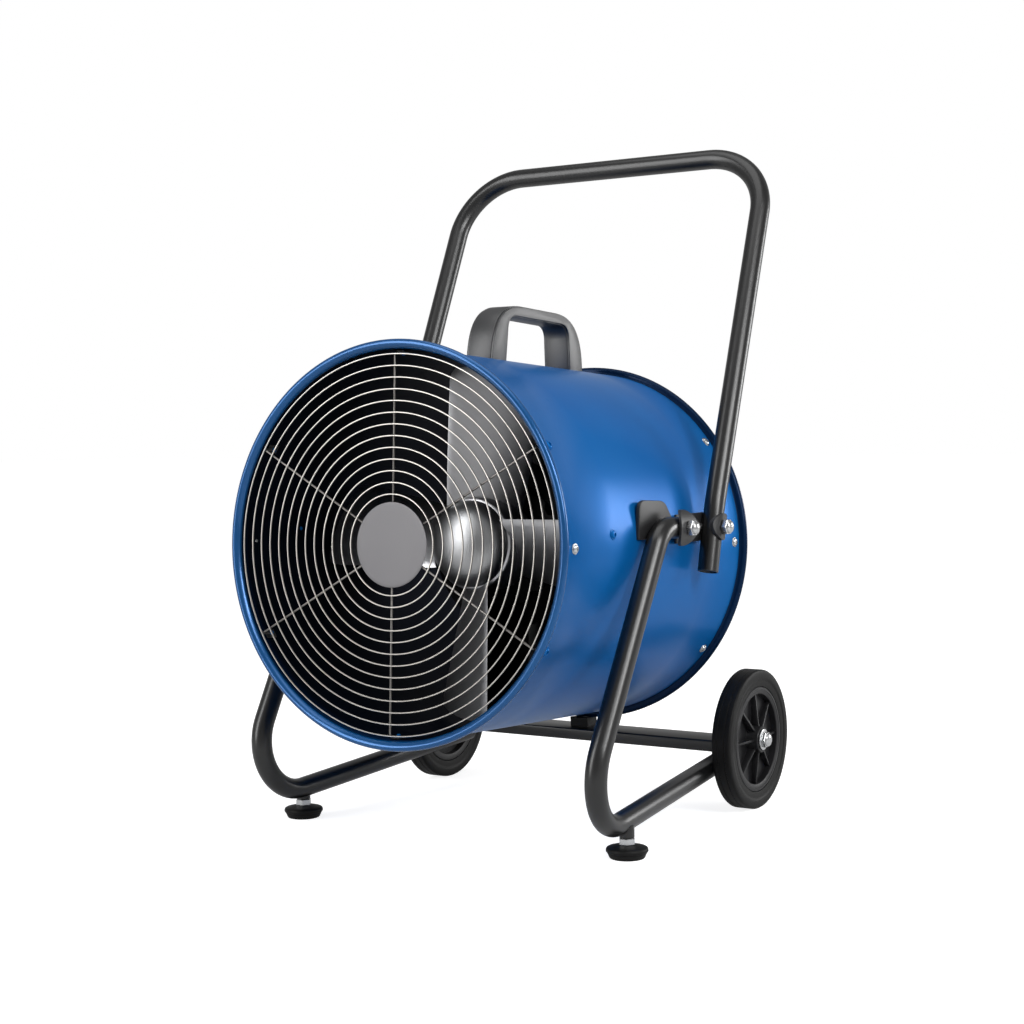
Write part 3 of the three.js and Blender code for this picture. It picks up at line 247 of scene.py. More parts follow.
looks = {
    "blue": glossCoat("blueCoat", (0.003, 0.112, 0.360), (0.003, 0.100, 0.335), metallic=0.25,
                      roughness=0.3, coat=0.16, level=0.06, tint=(0.03, 0.45, 0.85)),
    # the rim beads are a darker copy of the drum's blue, painted shade on the beads; their coat gives the
    # highlight line
    "blueRimShaded": glossCoat("rimShadedCoat", (0.003, 0.075, 0.240), (0.003, 0.065, 0.210), metallic=0.35,
                         roughness=0.2, coat=0.6, level=0.2, tint=(0.2, 0.6, 0.9)),
    # near-black copy of the drum's blue for the tail rim's outer side, painted shade
    "blueEdgeShade": glossCoat("edgeShadeCoat", (0.002, 0.014, 0.045), (0.002, 0.012, 0.04), metallic=0.2,
                          roughness=0.3, coat=0.1, level=0.1, tint=(0.2, 0.4, 0.8)),
    # the lining is a darker copy of the drum's blue, painted shade
    "blueInsideShade": glossCoat("liningShadeCoat", (0.004, 0.035, 0.12), (0.003, 0.028, 0.1), metallic=0.2,
                            roughness=0.55, coat=0, level=0.05, tint=(0.2, 0.3, 0.5), shadeInside=True),
    "black": blackCoat("frameCoat", 0.003, roughness=0.28, level=0.6),
    "bracket": blackCoat("bracketCoat", 0.016, roughness=0.42, level=0.4),
    "cage": blackCoat("cageCoat", 0.004, roughness=0.6, level=0.08),
    "wire": brightMetal("guardWire", (0.44, 0.42, 0.39), (0.28, 0.265, 0.245), roughness=0.24),
    # the spokes are the rings' wire painted darker, painted shade
    "spoke": brightMetal("spokeShadedWire", (0.2, 0.19, 0.18), (0.12, 0.115, 0.11), roughness=0.3),
    "blade": brightMetal("bladeMetal", (0.62, 0.62, 0.64), (0.42, 0.42, 0.44), roughness=0.3,
                         lines=(30, 30, 400)),
    # the dome is the blades' polished aluminium painted darker, painted shade; the lines are its spinning
    # marks
    "dome": brightMetal("domeShadedMetal", (0.42, 0.425, 0.435), (0.3, 0.305, 0.315), roughness=0.3,
                        lines=(40, 500, 40)),
    "zinc": brightMetal("zincPlate", (0.56, 0.57, 0.58), (0.36, 0.36, 0.345), roughness=0.2, wear=0.35),
    "disc": glossCoat("discCoat", (0.235, 0.23, 0.238), (0.215, 0.21, 0.22), metallic=0,
                      roughness=0.55, coat=0),
    "rubber": softRubber("padRubber", 0.006, roughness=0.5),
    "tyre": softRubber("tyreRubber", 0.004, roughness=0.5),
    "rim": mouldedPlastic("rimPlastic", (0.007, 0.007, 0.008), roughness=0.4),
    "grip": mouldedPlastic("gripPlastic", (0.016, 0.0165, 0.018), roughness=0.36, level=0.8,
                           grainScale=900, grain=0.2),
    "housing": mouldedPlastic("housingPlastic", (0.02, 0.021, 0.023), roughness=0.4),
    "motor": blackCoat("motorPaint", 0.012, roughness=0.5, level=0.12),
    "bush": mouldedPlastic("bushPlastic", (0.4, 0.4, 0.41), roughness=0.45),
}
print("looks made")


# Shape tools

# A (radius, height) profile turned about one axis; closed joins its last point to its first
def turned(profile, count, axis, closed=False):
    points, faces, rings = [], [], []
    for radius, height in profile:
        ring = []
        for i in range(1 if radius == 0 else count):
            c, s = radius * math.cos(2 * math.pi * i / count), radius * math.sin(2 * math.pi * i / count)
            ring.append(len(points))
            points.append({"x": (height, c, s), "y": (c, height, s), "z": (c, s, height)}[axis])
        rings.append(ring)
    pairs = list(zip(rings, rings[1:])) + ([(rings[-1], rings[0])] if closed else [])
    for low, high in pairs:
        for i in range(count):
            j = i + 1
            corners = [low[i % len(low)], low[j % len(low)], high[j % len(high)], high[i % len(high)]]
            face = list(dict.fromkeys(corners))
            if len(face) > 2:
                faces.append(face)
    return points, faces


# Stations (point, tangent) along straight runs with arcs at the corners
def bentPath(corners, radii, step=4):
    corners = [Vector(corner) for corner in corners]
    stations = [(corners[0], (corners[1] - corners[0]).normalized())]
    for before, corner, after, radius in zip(corners, corners[1:], corners[2:], radii):
        into, out = (corner - before).normalized(), (after - corner).normalized()
        turn = into.angle(out)
        start = corner - into * radius * math.tan(turn / 2)
        inward = (out - into * out.dot(into)).normalized()
        count = max(2, round(math.degrees(turn) / step))
        for k in range(count + 1):
            angle = turn * k / count
            spot = start + into * radius * math.sin(angle) + inward * radius * (1 - math.cos(angle))
            stations.append((spot, into * math.cos(angle) + inward * math.sin(angle)))
    stations.append((corners[-1], (corners[-1] - corners[-2]).normalized()))
    return stations


def circle(radius, count):
    turns = [2 * math.pi * i / count for i in range(count)]
    return [(radius * math.cos(turn), radius * math.sin(turn)) for turn in turns]


# A section carried along stations without twist. ends lists the runs on past each end,
# with the section's size there
def swept(stations, section, ends):
    first, last = stations[0], stations[-1]
    path = [(first[0] - first[1] * run, first[1], size) for run, size in reversed(ends)]
    path += [(spot, tangent, 1) for spot, tangent in stations]
    path += [(last[0] + last[1] * run, last[1], size) for run, size in ends]
    tangent = path[0][1]
    across = tangent.cross(Vector((0, 0, 1)) if abs(tangent.z) < 0.9 else Vector((1, 0, 0))).normalized()
    points, faces = [], []
    count = len(section)
    for spot, along, size in path:
        across = (across - along * across.dot(along)).normalized()
        other = along.cross(across)
        points += [spot + (across * u + other * v) * size for u, v in section]
    for k in range(len(path) - 1):
        for i in range(count):
            a, b = k * count + i, k * count + (i + 1) % count
            faces.append([a, b, b + count, a + count])
    faces.append(list(range(count)))
    faces.append(list(range(len(points) - count, len(points))))
    return points, faces


def bevelled(mesh, width, segments):
    sharp = math.radians(30)
    edges = [edge for edge in mesh.edges if edge.is_manifold and edge.calc_face_angle() > sharp]
    if width:
        bmesh.ops.bevel(mesh, geom=edges, offset=width, segments=segments, affect="EDGES",
                        profile=0.5, clamp_overlap=True)
    mesh.verts.index_update()
    result = [v.co.copy() for v in mesh.verts], [[v.index for v in face.verts] for face in mesh.faces]
    mesh.free()
    return result


# A box between two corners, with rounded edges
def block(low, high, width, segments):
    mesh = bmesh.new()
    bmesh.ops.create_cube(mesh, size=1)
    for vert in mesh.verts:
        vert.co = Vector([lo + (hi - lo) * (c + 0.5) for lo, hi, c in zip(low, high, vert.co)])
    return bevelled(mesh, width, segments)


# A (y, z) outline given thickness from x0 to x1, with rounded edges
def slab(outline, x0, x1, width, segments):
    mesh = bmesh.new()
    near = [mesh.verts.new((x0, y, z)) for y, z in outline]
    far = [mesh.verts.new((x1, y, z)) for y, z in outline]
    mesh.faces.new(near)
    mesh.faces.new(far[::-1])
    for i in range(len(outline)):
        j = (i + 1) % len(outline)
        mesh.faces.new((near[j], near[i], far[i], far[j]))
    bmesh.ops.recalc_face_normals(mesh, faces=mesh.faces)
    return bevelled(mesh, width, segments)


def arc(cy, cz, radius, start, end, count):
    turns = [math.radians(start + (end - start) * k / count) for k in range(count + 1)]
    return [(cy + radius * math.cos(a), cz + radius * math.sin(a)) for a in turns]


def curve(start, control, end, count):
    spots = []
    for k in range(count + 1):
        t = k / count
        spots.append(tuple(
            (1 - t) ** 2 * a + 2 * t * (1 - t) * b + t * t * c for a, b, c in zip(start, control, end)))
    return spots


class Form:
    def __init__(self, space):
        self.space = space
        self.mesh = bmesh.new()
        self.materials = []

    def add(self, shape, look, place=None):
        points, faces = shape
        place = place or Matrix()
        if look not in self.materials:
            self.materials.append(look)
        verts = [self.mesh.verts.new(place @ Vector(point)) for point in points]
        for face in faces:
            made = self.mesh.faces.new([verts[i] for i in face])
            made.material_index = self.materials.index(look)
            made.smooth = True

    # Makes the object, which stands for the named CAD nodes
    def done(self, name, body, stands, slot, sharp=35):
        bmesh.ops.recalc_face_normals(self.mesh, faces=self.mesh.faces)
        self.mesh.transform(self.space)
        if self.space.determinant() < 0:
            bmesh.ops.reverse_faces(self.mesh, faces=self.mesh.faces)
        data = bpy.data.meshes.new(name)
        self.mesh.to_mesh(data)
        self.mesh.free()
        data.set_sharp_from_angle(angle=math.radians(sharp))
        for look in self.materials:
            data.materials.append(looks[look])
        piece = bpy.data.objects.new(name, data)
        bpy.context.collection.objects.link(piece)
        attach(piece, body)
        if stands:
            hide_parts(*stands)


def around(degrees):
    return Matrix.Rotation(-math.radians(degrees), 4, "Y")


def mirroredX(side):
    return Matrix.Scale(side, 4, (1, 0, 0))


def turnX(degrees):
    return Matrix.Rotation(math.radians(degrees), 4, "X")


# Drum: rolled sheet with a wired rim at each end

drum = {"radius": 222, "inner": 220, "nose": -240, "tail": 212, "bead": 4.5, "crest": 9}


def rimProfile(end, outward):
    centre = (drum["radius"] + drum["bead"], end - outward * drum["bead"])
    spots = [(drum["inner"], centre[1] - outward * 3), (drum["inner"] + 0.4, centre[1])]
    for k in range(15):  # round the bead, from the lining over the edge to the skin
        angle = math.radians(140 - 232 * k / 14)
        across, along = drum["bead"] * math.cos(angle), drum["bead"] * math.sin(angle)
        spots.append((centre[0] + across, centre[1] + outward * along))
    spots.append((drum["radius"] + 0.7, centre[1] - outward * 4.2))
    spots.append((drum["radius"], centre[1] - outward * 5.2))
    return spots


tailRim, noseRim = rimProfile(drum["tail"], 1), rimProfile(drum["nose"], -1)
skin = tailRim[-1:] + [(drum["radius"], y) for y in (120, 60, 0, -60, -120)] + noseRim[-1:]
lining = [noseRim[0]] + [(drum["inner"], y) for y in (-200, -150, -100, -40, 20, 80, 140)] + [tailRim[0]]
shell = Form(drumSpace)
shell.add(turned(skin, 192, "y"), "blue")
# painted shade: the tail rim's side toward the skin takes a near-black copy of the blue from this point on
crest = drum["crest"]  # the tail rim's side toward the skin is darker from this point on
shell.add(turned(tailRim[crest:], 192, "y"), "blueEdgeShade")
# the rim beads take the darker blue of painted shade
shell.add(turned(tailRim[:crest + 1], 192, "y"), "blueRimShaded")
shell.add(turned(noseRim[::-1], 192, "y"), "blueRimShaded")
shell.add(turned(lining, 192, "y"), "blueInsideShade")
bmesh.ops.remove_doubles(shell.mesh, verts=shell.mesh.verts, dist=0.001)
shell.done("drumSkin", "drum", ["drum_shell"], "blue_coat", 60)
print("drum built")

# Guards: bright rings welded on bent spokes with screw tabs

guardFit = {"ring": 0.95, "spoke": 1.3, "outer": 214.5, "tab": 219.1, "tabSheet": 2,
            "depth": 6, "spokeDepth": 8.45, "screw": 25, "rearScrew": 22}


def guardShape(form, ringY, spokeY, screwY, radii, angles):
    for radius in radii:
        section = [(radius + u, ringY + v) for u, v in circle(guardFit["ring"], 10)]
        form.add(turned(section, 128, "y", True), "wire")
    wall = guardFit["tab"] - guardFit["tabSheet"] - guardFit["spoke"] + 0.6
    inward = 1 if screwY > spokeY else -1
    for angle in angles:
        corners = [(0, spokeY, 0), (wall, spokeY, 0), (wall, screwY - inward * 3, 0)]
        wire = swept(bentPath(corners, [3.5], 12), circle(guardFit["spoke"], 12), ((0.6, 0.8),))
        form.add(wire, "spoke", around(angle))
        low = (guardFit["tab"] - guardFit["tabSheet"], screwY - 8, -5.5)
        form.add(block(low, (guardFit["tab"], screwY + 8, 5.5), 0.6, 2), "bracket", around(angle))


def ringRow(inner, count):
    return [inner + (guardFit["outer"] - inner) * i / (count - 1) for i in range(count)]


spokeDepth = guardFit["spokeDepth"]
frontAngles = (90, 30, -30, -90, -150, 150)
rearAngles = (36, 108, 180, 252, 324)
frontWires = Form(drumSpace)
guardShape(frontWires, drum["nose"] + guardFit["depth"], drum["nose"] + spokeDepth,
           drum["nose"] + guardFit["screw"], ringRow(57, 13), frontAngles)
frontWires.done("frontWires", "drum", ["front_guard"], "bright_wire")
rearWires = Form(drumSpace)
guardShape(rearWires, drum["tail"] - guardFit["depth"], drum["tail"] - spokeDepth,
           drum["tail"] - guardFit["rearScrew"], ringRow(56, 8), rearAngles)
plate = drum["tail"] - spokeDepth + 1.1
plateProfile = [(0, plate), (38.6, plate), (40, plate + 0.8), (38.6, plate + 1.6), (0, plate + 1.6)]
rearWires.add(turned(plateProfile, 64, "y"), "wire")
rearWires.done("rearWires", "drum", ["rear_guard"], "bright_wire")

y = drum["nose"] + spokeDepth - 1.9
discProfile = [
    (0, y - 3.05), (30, y - 2.75), (43.5, y - 2.2), (45.4, y - 2.0), (47.2, y - 1.5),
    (48, y - 0.7), (47.9, y), (46.6, y), (46.2, y - 0.6), (0, y - 0.8)]
guardDisc = Form(drumSpace)
guardDisc.add(turned(discProfile, 96, "y"), "disc")
guardDisc.done("guardDisc", "drum", ["guard_disc"], "grey_coat")
print("guards built")

# Screws of the guards, and the plain fixings beside them

screwFit = {"head": 4.8, "height": 2.6, "shank": 2.2, "washer": 6.2}


def screwShape(form, angle, y, look="zinc", tail=214):
    seat = drum["radius"] + 0.15
    top = seat + screwFit["height"]
    shank, wide, rim = screwFit["shank"], screwFit["head"], screwFit["washer"]
    washer = [(shank, seat), (rim, seat), (rim - 0.3, seat + 0.6), (shank, seat + 0.8)]
    head = [(0, tail), (1.7, tail), (shank, tail + 0.6), (shank, seat + 0.7), (wide, seat + 0.7),
            (wide - 0.1, seat + 1.4), (wide * 0.84, top - 0.35), (wide * 0.66, top), (2.3, top + 0.05),
            (2.1, top - 1.4), (0, top - 1.5)]
    place = around(angle) @ Matrix.Translation((0, y, 0))
    for profile in (washer, head):
        form.add(turned(profile, 20, "x"), look, place)


for i, angle in enumerate(frontAngles):
    head = Form(drumSpace)
    screwShape(head, angle, drum["nose"] + guardFit["screw"], "blue")
    head.done(f"frontScrew{i + 1}", "drum", [f"front_screw_{i + 1}"], "zinc")
for i, angle in enumerate(rearAngles):
    head = Form(drumSpace)
    screwShape(head, angle, drum["tail"] - guardFit["rearScrew"])
    head.done(f"rearScrew{i + 1}", "drum", [f"rear_screw_{i + 1}"], "zinc")
fixings = Form(drumSpace)
sideSpots = (
    (0, 34, "zinc"), (3.9, 118, "blue"), (1.2, 429, "zinc"), (180, 34, "zinc"), (176.1, 118, "blue"))
for angle, depth, look in sideSpots:
    screwShape(fixings, angle, drum["nose"] + depth, look, 219)
fixings.done("sideFixings", "drum", (), "zinc")

# Fan: cast hub, broad twisted blades, polished dome

fan = {"depth": 190, "tip": 212, "root": 53.5, "rootChord": 96, "tipChord": 118, "rootPitch": 40,
       "tipPitch": 28, "camber": -6, "half": 1.15, "blades": 4, "phase": 84, "hub": 168}


# One blade from root to tip, wrapped round the axis, twisted and cambered
def bladeShape(phase):
    rows, slices = 28, 22
    points, faces = [], []
    loop = [(k / slices, 1) for k in range(slices + 1)] + [(k / slices, -1) for k in range(slices - 1, 0, -1)]
    for i in range(rows + 1):
        share = i / rows
        radius = fan["root"] + (fan["tip"] - fan["root"]) * share
        chord = fan["rootChord"] + (fan["tipChord"] - fan["rootChord"]) * share
        corner = max(0, (share - 0.9) / 0.1)
        chord *= 1 - 0.1 * corner ** 3
        pitch = math.radians(fan["rootPitch"] + (fan["tipPitch"] - fan["rootPitch"]) * share)
        for place, face in loop:
            across = place - 0.5
            edge = min(1, (1 - abs(2 * across)) * 14)
            lift = fan["camber"] * (1 - 4 * across * across) + face * fan["half"] * math.sqrt(edge)
            girth = chord * across * math.cos(pitch) + lift * math.sin(pitch)
            along = -chord * across * math.sin(pitch) + lift * math.cos(pitch)
            angle = math.radians(phase) + girth / radius
            y = drum["nose"] + fan["depth"] + along
            points.append((radius * math.cos(angle), y, radius * math.sin(angle)))
    count = len(loop)
    for i in range(rows):
        for j in range(count):
            a, b = i * count + j, i * count + (j + 1) % count
            faces.append([a, b, b + count, a + count])
    for base in (0, rows * count):
        faces.append([base, base + 1, base + count - 1])
        for j in range(1, slices - 1):
            faces.append([base + j, base + j + 1, base + count - j - 1, base + count - j])
        faces.append([base + slices - 1, base + slices, base + slices + 1])
    return points, faces


front = drum["nose"] + fan["hub"]
hubProfile = [
    (8.3, front), (50, front), (54, front + 0.6), (55.6, front + 2.2), (56, front + 4), (56, front + 24),
    (56.5, front + 25), (56.5, front + 28), (56, front + 29), (56, front + 53), (55.4, front + 54),
    (52.4, front + 54), (52, front + 53), (52, front + 6), (50, front + 4), (18, front + 4), (16, front + 6),
    (16, front + 44), (15, front + 46), (8.3, front + 46)]
wheelOfBlades = Form(drumSpace)
wheelOfBlades.add(turned(hubProfile, 96, "y", True), "blade")
for k in range(fan["blades"]):
    wheelOfBlades.add(bladeShape(fan["phase"] - 360 / fan["blades"] * k), "blade")
wheelOfBlades.done("fanWheel", "fan", ["impeller"], "polished_aluminium", 40)

seat = front - 0.3


def domeArc(radius, height, turns):
    spots = []
    for turn in turns:
        angle = math.radians(turn)
        spots.append((radius * math.sin(angle), seat - 1.5 - height * math.cos(angle)))
    return spots


dome = [(0, seat - 28)] + domeArc(52, 26.5, range(6, 91, 6)) + [(52, seat), (49.8, seat)]
dome += domeArc(49.5, 24, range(90, 5, -12)) + [(0, seat - 25.5)]
hubDome = Form(drumSpace)
hubDome.add(turned(dome, 96, "y"), "dome")
hubDome.done("hubDome", "fan", ["hub_cap"], "polished_aluminium")
shaftEnds = [(0, -88), (7, -88), (8, -87), (8, 20.5), (7, 21.5), (0, 21.5)]
shaft = Form(drumSpace)
shaft.add(turned(shaftEnds, 48, "y"), "zinc")
shaft.done("motorShaft", "fan", ["motor_shaft"], "zinc")
print("fan built")

# Motor with cooling fins, end bells and tie bolts, in its sheet spider

motor = {"bodyFront": 2, "bodyRear": 120, "fins": 16, "finWidth": 0.35, "bolts": 4}
finOutline = []
for i in range(motor["fins"]):
    middle = 360 * i / motor["fins"]
    half = 360 / motor["fins"] * motor["finWidth"] / 2
    for radius, offset in ((71, -2), (76.4, -1.05), (77, -0.6), (77, 0.6), (76.4, 1.05), (71, 2)):
        turn = math.radians(middle + offset * half)
        finOutline.append((radius * math.cos(turn), radius * math.sin(turn)))
barrel = Form(drumSpace)
fins = slab(finOutline, motor["bodyFront"], motor["bodyRear"], 0.6, 2)
barrel.add(fins, "motor", Matrix(((0, 1, 0, 0), (1, 0, 0, 0), (0, 0, 1, 0), (0, 0, 0, 1))))
bell = [(8.6, -10), (24, -10), (26, -8.5), (26, 0), (60, 0.8), (64, 1.6), (66, 3), (66, 119),
        (64.5, 121.5), (58, 124), (40, 128), (27, 131), (24, 132), (0, 132)]
barrel.add(turned(bell, 96, "y"), "motor")
barrel.add(turned([(8.6, -10), (8.6, 22), (0, 22)], 48, "y"), "motor")
bolt = [(0, 123), (4.4, 123), (4.4, 126), (3.8, 126.6), (0, 126.8)]
for k in range(motor["bolts"]):
    turn = around(45 + 360 / motor["bolts"] * k)
    barrel.add(turned(bolt, 6, "y"), "zinc", turn @ Matrix.Translation((56, 0, 0)))
barrel.done("motorBody", "drum", ["motor_housing"], "motor_grey")

spider = {"front": 6, "rear": 116, "bore": 77.7, "sheet": 3, "collar": 28, "lip": 34, "reach": 219.5,
          "arms": 4}
cage = Form(drumSpace)
inner, near, far = spider["bore"], spider["front"], spider["rear"]
outer, collar = inner + spider["sheet"], inner + spider["collar"]
ringProfile = [
    (inner, near), (collar, near), (collar, near + 2), (outer, near + 2), (outer, far), (inner, far)]
cage.add(turned(ringProfile, 96, "y", True), "cage")
for k in range(spider["arms"]):
    place = around(360 / spider["arms"] * k)
    cage.add(block((79.5, near, -1.5), (217.2, far, 1.5), 0.5, 2), "cage", place)
    for y in (near, far - spider["sheet"]):
        low, high = (81, y, -spider["lip"]), (214, y + spider["sheet"], spider["lip"])
        cage.add(block(low, high, 0.9, 2), "cage", place)
    points = [(r * math.cos(math.radians(a)), y, r * math.sin(math.radians(a)))
              for y in (near, far) for r in (spider["reach"] - spider["sheet"], spider["reach"])
              for a in (-3.1, -2, -1, 0, 1, 2, 3.1)]
    faces = []
    for a, b in ((0, 7), (7, 21), (21, 14), (14, 0)):
        faces += [[a + i, a + i + 1, b + i + 1, b + i] for i in range(6)]
    faces += [[0, 7, 21, 14], [6, 13, 27, 20]]
    cage.add((points, faces), "cage", place)
    for y in (30, 92):
        nut = [(0, 213), (5.6, 213), (5.6, 216.8), (0, 216.8)]
        for side in (-7.5, 7.5):
            cage.add(turned(nut, 6, "x"), "zinc", place @ Matrix.Translation((0, y, side)))
cage.done("motorCage", "drum", ["motor_spider"], "black_paint")
print("motor built")

# Carry handle: moulded arch with a parting groove and two feet

carry = {"front": -60, "rear": 155, "top": 291, "under": 277, "half": 19, "foot": 32,
         "lean": 4, "outer": 66, "inner": 20, "groove": 0.9, "screws": (-44, 139)}


def carryOutline(inset):
    low, high, lean = carry["front"] + inset, carry["rear"] - inset, carry["lean"]
    top, under, foot = carry["top"] - inset, carry["under"] + inset, 217
    outline = [(low, foot)]
    outline += curve((low, top - carry["outer"]), (low + lean, top), (low + carry["outer"], top), 18)
    outline += curve((high - carry["outer"], top), (high - lean, top), (high, top - carry["outer"]), 18)
    outline += [(high, foot), (high - carry["foot"] + 2 * inset, foot)]
    inLow, inHigh = low + carry["foot"] + lean - 2 * inset, high - carry["foot"] - lean + 2 * inset
    outline += curve((inHigh, under - carry["inner"]), (inHigh, under), (inHigh - carry["inner"], under), 12)
    outline += curve((inLow + carry["inner"], under), (inLow, under), (inLow, under - carry["inner"]), 12)
    outline += [(low + carry["foot"] - 2 * inset, foot)]
    return outline


arch = Form(drumSpace)
wide, groove = carry["half"], carry["groove"]
layers = (
    (-wide, -wide + 3.6, groove, 0.8), (-wide + 3.2, wide - 3.2, 0, 0.5), (wide - 3.6, wide, groove, 0.8))
for x0, x1, inset, width in layers:
    arch.add(slab(carryOutline(inset), x0, x1, width, 3), "grip")
arch.done("carryArch", "drum", ["carry_handle"], "dark_plastic", 40)
for i, y in enumerate(carry["screws"]):
    screw = Form(drumSpace)
    profile = [(0, 216.9), (2.6, 216.9), (3.4, 217.2), (4.8, 219), (4.8, 219.7), (2.2, 219.7), (2.2, 237),
               (1.4, 238), (0, 238)]
    screw.add(turned(profile, 20, "z"), "zinc", Matrix.Translation((0, y, 0)))
    screw.done(f"carryScrew{i + 1}", "drum", [f"carry_screw_{i + 1}"], "zinc")

# Switch box, knob and cable gland on the lower left side

switch = {"angle": 218, "y": 127.5, "seam": 252, "face": 264, "long": 37.5, "wide": 30, "corner": 8,
          "ribs": 24, "glandX": 243, "glandRibs": 12}
place = around(switch["angle"]) @ Matrix.Translation((0, switch["y"], 0))
boxOutline = []
cy, cz, seam = switch["long"] - switch["corner"], switch["wide"] - switch["corner"], switch["seam"]
for y, z, start in ((cy, cz, 0), (-cy, cz, 90), (-cy, -cz, 180), (cy, -cz, 270)):
    boxOutline += arc(y, z, switch["corner"], start, start + 90, 8)
housing = Form(drumSpace)
housing.add(slab(boxOutline, 220.5, seam, 0.6, 2), "housing", place)
housing.add(slab([(y * 0.985, z * 0.985) for y, z in boxOutline], seam, seam + 1, 0, 1), "housing", place)
housing.add(slab(boxOutline, seam + 1, switch["face"], 1.8, 3), "housing", place)
for y, z in ((-29, -22), (29, -22), (29, 22), (-29, 22)):
    head = [(0, 262), (3.6, 262), (3.6, 264.4), (3.1, 265.1), (1.6, 265.3), (1.4, 264.2), (0, 264.1)]
    housing.add(turned(head, 20, "x"), "zinc", place @ Matrix.Translation((0, y, z)))
housing.done("switchHousing", "drum", ["switch_box"], "dark_plastic")
dial = Form(drumSpace)
knob = [(0, 255), (3, 255), (3, 264.4), (16, 264.4), (16.2, 265.2), (15.6, 268), (14.4, 276.4),
        (13.4, 277.4), (0, 277.6)]
dial.add(turned(knob, 64, "x"), "rim", place)
dial.add(block((271, -13.6, -2.6), (281.8, 13.6, 2.6), 1.2, 3), "rim", place)
dial.add(block((281.6, -13, -0.6), (282.0, -5, 0.6), 0.1, 1), "bush", place)
for k in range(switch["ribs"]):
    turn = turnX(360 / switch["ribs"] * k)
    dial.add(block((266, 14.8, -0.7), (276, 15.9, 0.7), 0.3, 1), "rim", place @ turn)
dial.done("switchDial", "knob", ["switch_knob"], "rim_plastic")
gland = Form(drumSpace)
glandPlace = around(switch["angle"]) @ Matrix.Translation((switch["glandX"], switch["y"], 0))
glandNut = [(8.4, 37.6), (11.2, 37.6), (11.5, 38.2), (11.5, 42.2), (11, 42.9), (8.4, 42.9)]
glandCap = [(4, 52), (6.4, 52), (7.6, 50.5), (9.6, 44.5), (9.8, 43), (8.4, 43), (8, 30.5), (4, 30.5)]
gland.add(turned(glandNut, 6, "y", True), "rim", glandPlace)
gland.add(turned(glandCap, 48, "y", True), "rim", glandPlace)
for k in range(switch["glandRibs"]):
    turn = around(360 / switch["glandRibs"] * k)
    gland.add(block((8.4, 43.2, -0.9), (9.9, 49, 0.9), 0.4, 1), "rim", glandPlace @ turn)
gland.done("cableGland", "drum", ["cable_gland"], "rim_plastic")
print("carry handle and switch built")

# Frame tubes and the folding push handle

tube = {"radius": 12.5, "topX": 239.4, "frontX": 233, "rearX": 202, "bends": (38, 62),
        "handleX": 240.2, "handleBends": (150, 86, 86, 150)}
foot = {"x": 230.295, "reach": 113.6, "boss": 8.5, "nutFlats": 17, "pitch": 1.3, "turns": 28}
tilt = {"z": 364, "saddleX": 252.2, "nutX": 255.5}  # the drum's pivots
fold = {"y": 89, "z": 361, "saddleX": 253, "nutX": 256.3}  # the studs that the push handle turns on
tubeEnd = ((0.0, 1), (0.6, 0.955), (0.6, 0.87), (-1.2, 0.85), (-1.2, 0.8))  # round lip and sunk plug


def frameSide(side, word):
    tail, lower = Vector((tube["rearX"], *barRear)), Vector((tube["frontX"], *barFront))
    run = (tail - lower).normalized() * 12
    corners = [(tube["topX"], 33, 362.7), (tube["topX"], -43, 365.7), lower, tail + run]
    form = Form(floorSpace @ mirroredX(side))
    form.add(swept(bentPath(corners, tube["bends"]), circle(tube["radius"], 40), tubeEnd), "black")
    tab = [(20, -17)] + arc(fold["y"], 0, 17, -90, 90, 24) + [(20, 17)]
    form.add(slab(tab, 224.2, 227.4, 0.6, 2), "bracket", Matrix.Translation((0, 0, fold["z"])))
    form.add(block((224.4, 20.4, 352.5), (229.2, 31, 369.5), 1.2, 3), "bracket")
    boss = [(0, 22.9), (8, 22.9), (foot["boss"], 23.5), (foot["boss"], 33), (8, 36.4), (0, 37)]
    form.add(turned(boss, 40, "z"), "black", Matrix.Translation((foot["x"], -foot["reach"], 0)))
    stud = [(0, 226.9), (5, 226.9), (5, 261.5), (4.4, 262.3), (0, 262.3)]
    form.add(turned(stud, 24, "x"), "zinc", Matrix.Translation((0, fold["y"], fold["z"])))
    form.done(f"frameTube{word}", "frame", [f"side_frame_{word.lower()}"], "black_paint")


cornerShare = 1.1547  # a hexagon's width across corners against its width across flats
capNut = {"flats": 17, "hexHeight": 6, "dome": 5}


def nutShape(flats, hexHeight, dome):
    radius = flats / 2
    corner = radius * cornerShare
    hexagon = [(0, 0), (radius * 1.12, 0), (corner, 0.5), (corner, hexHeight - 0.5),
               (radius * 1.1, hexHeight), (0, hexHeight)]
    waist = radius - 0.5
    cap = [(waist, hexHeight - 0.4), (waist * 0.985, hexHeight + 0.5)]
    for turn in range(0, 90, 9):
        angle = math.radians(turn)
        cap.append((waist * 0.96 * math.cos(angle), hexHeight + 0.6 + (dome - 0.6) * math.sin(angle)))
    cap.append((0, hexHeight + dome))
    return turned(hexagon, 6, "x"), turned(cap, 40, "x")


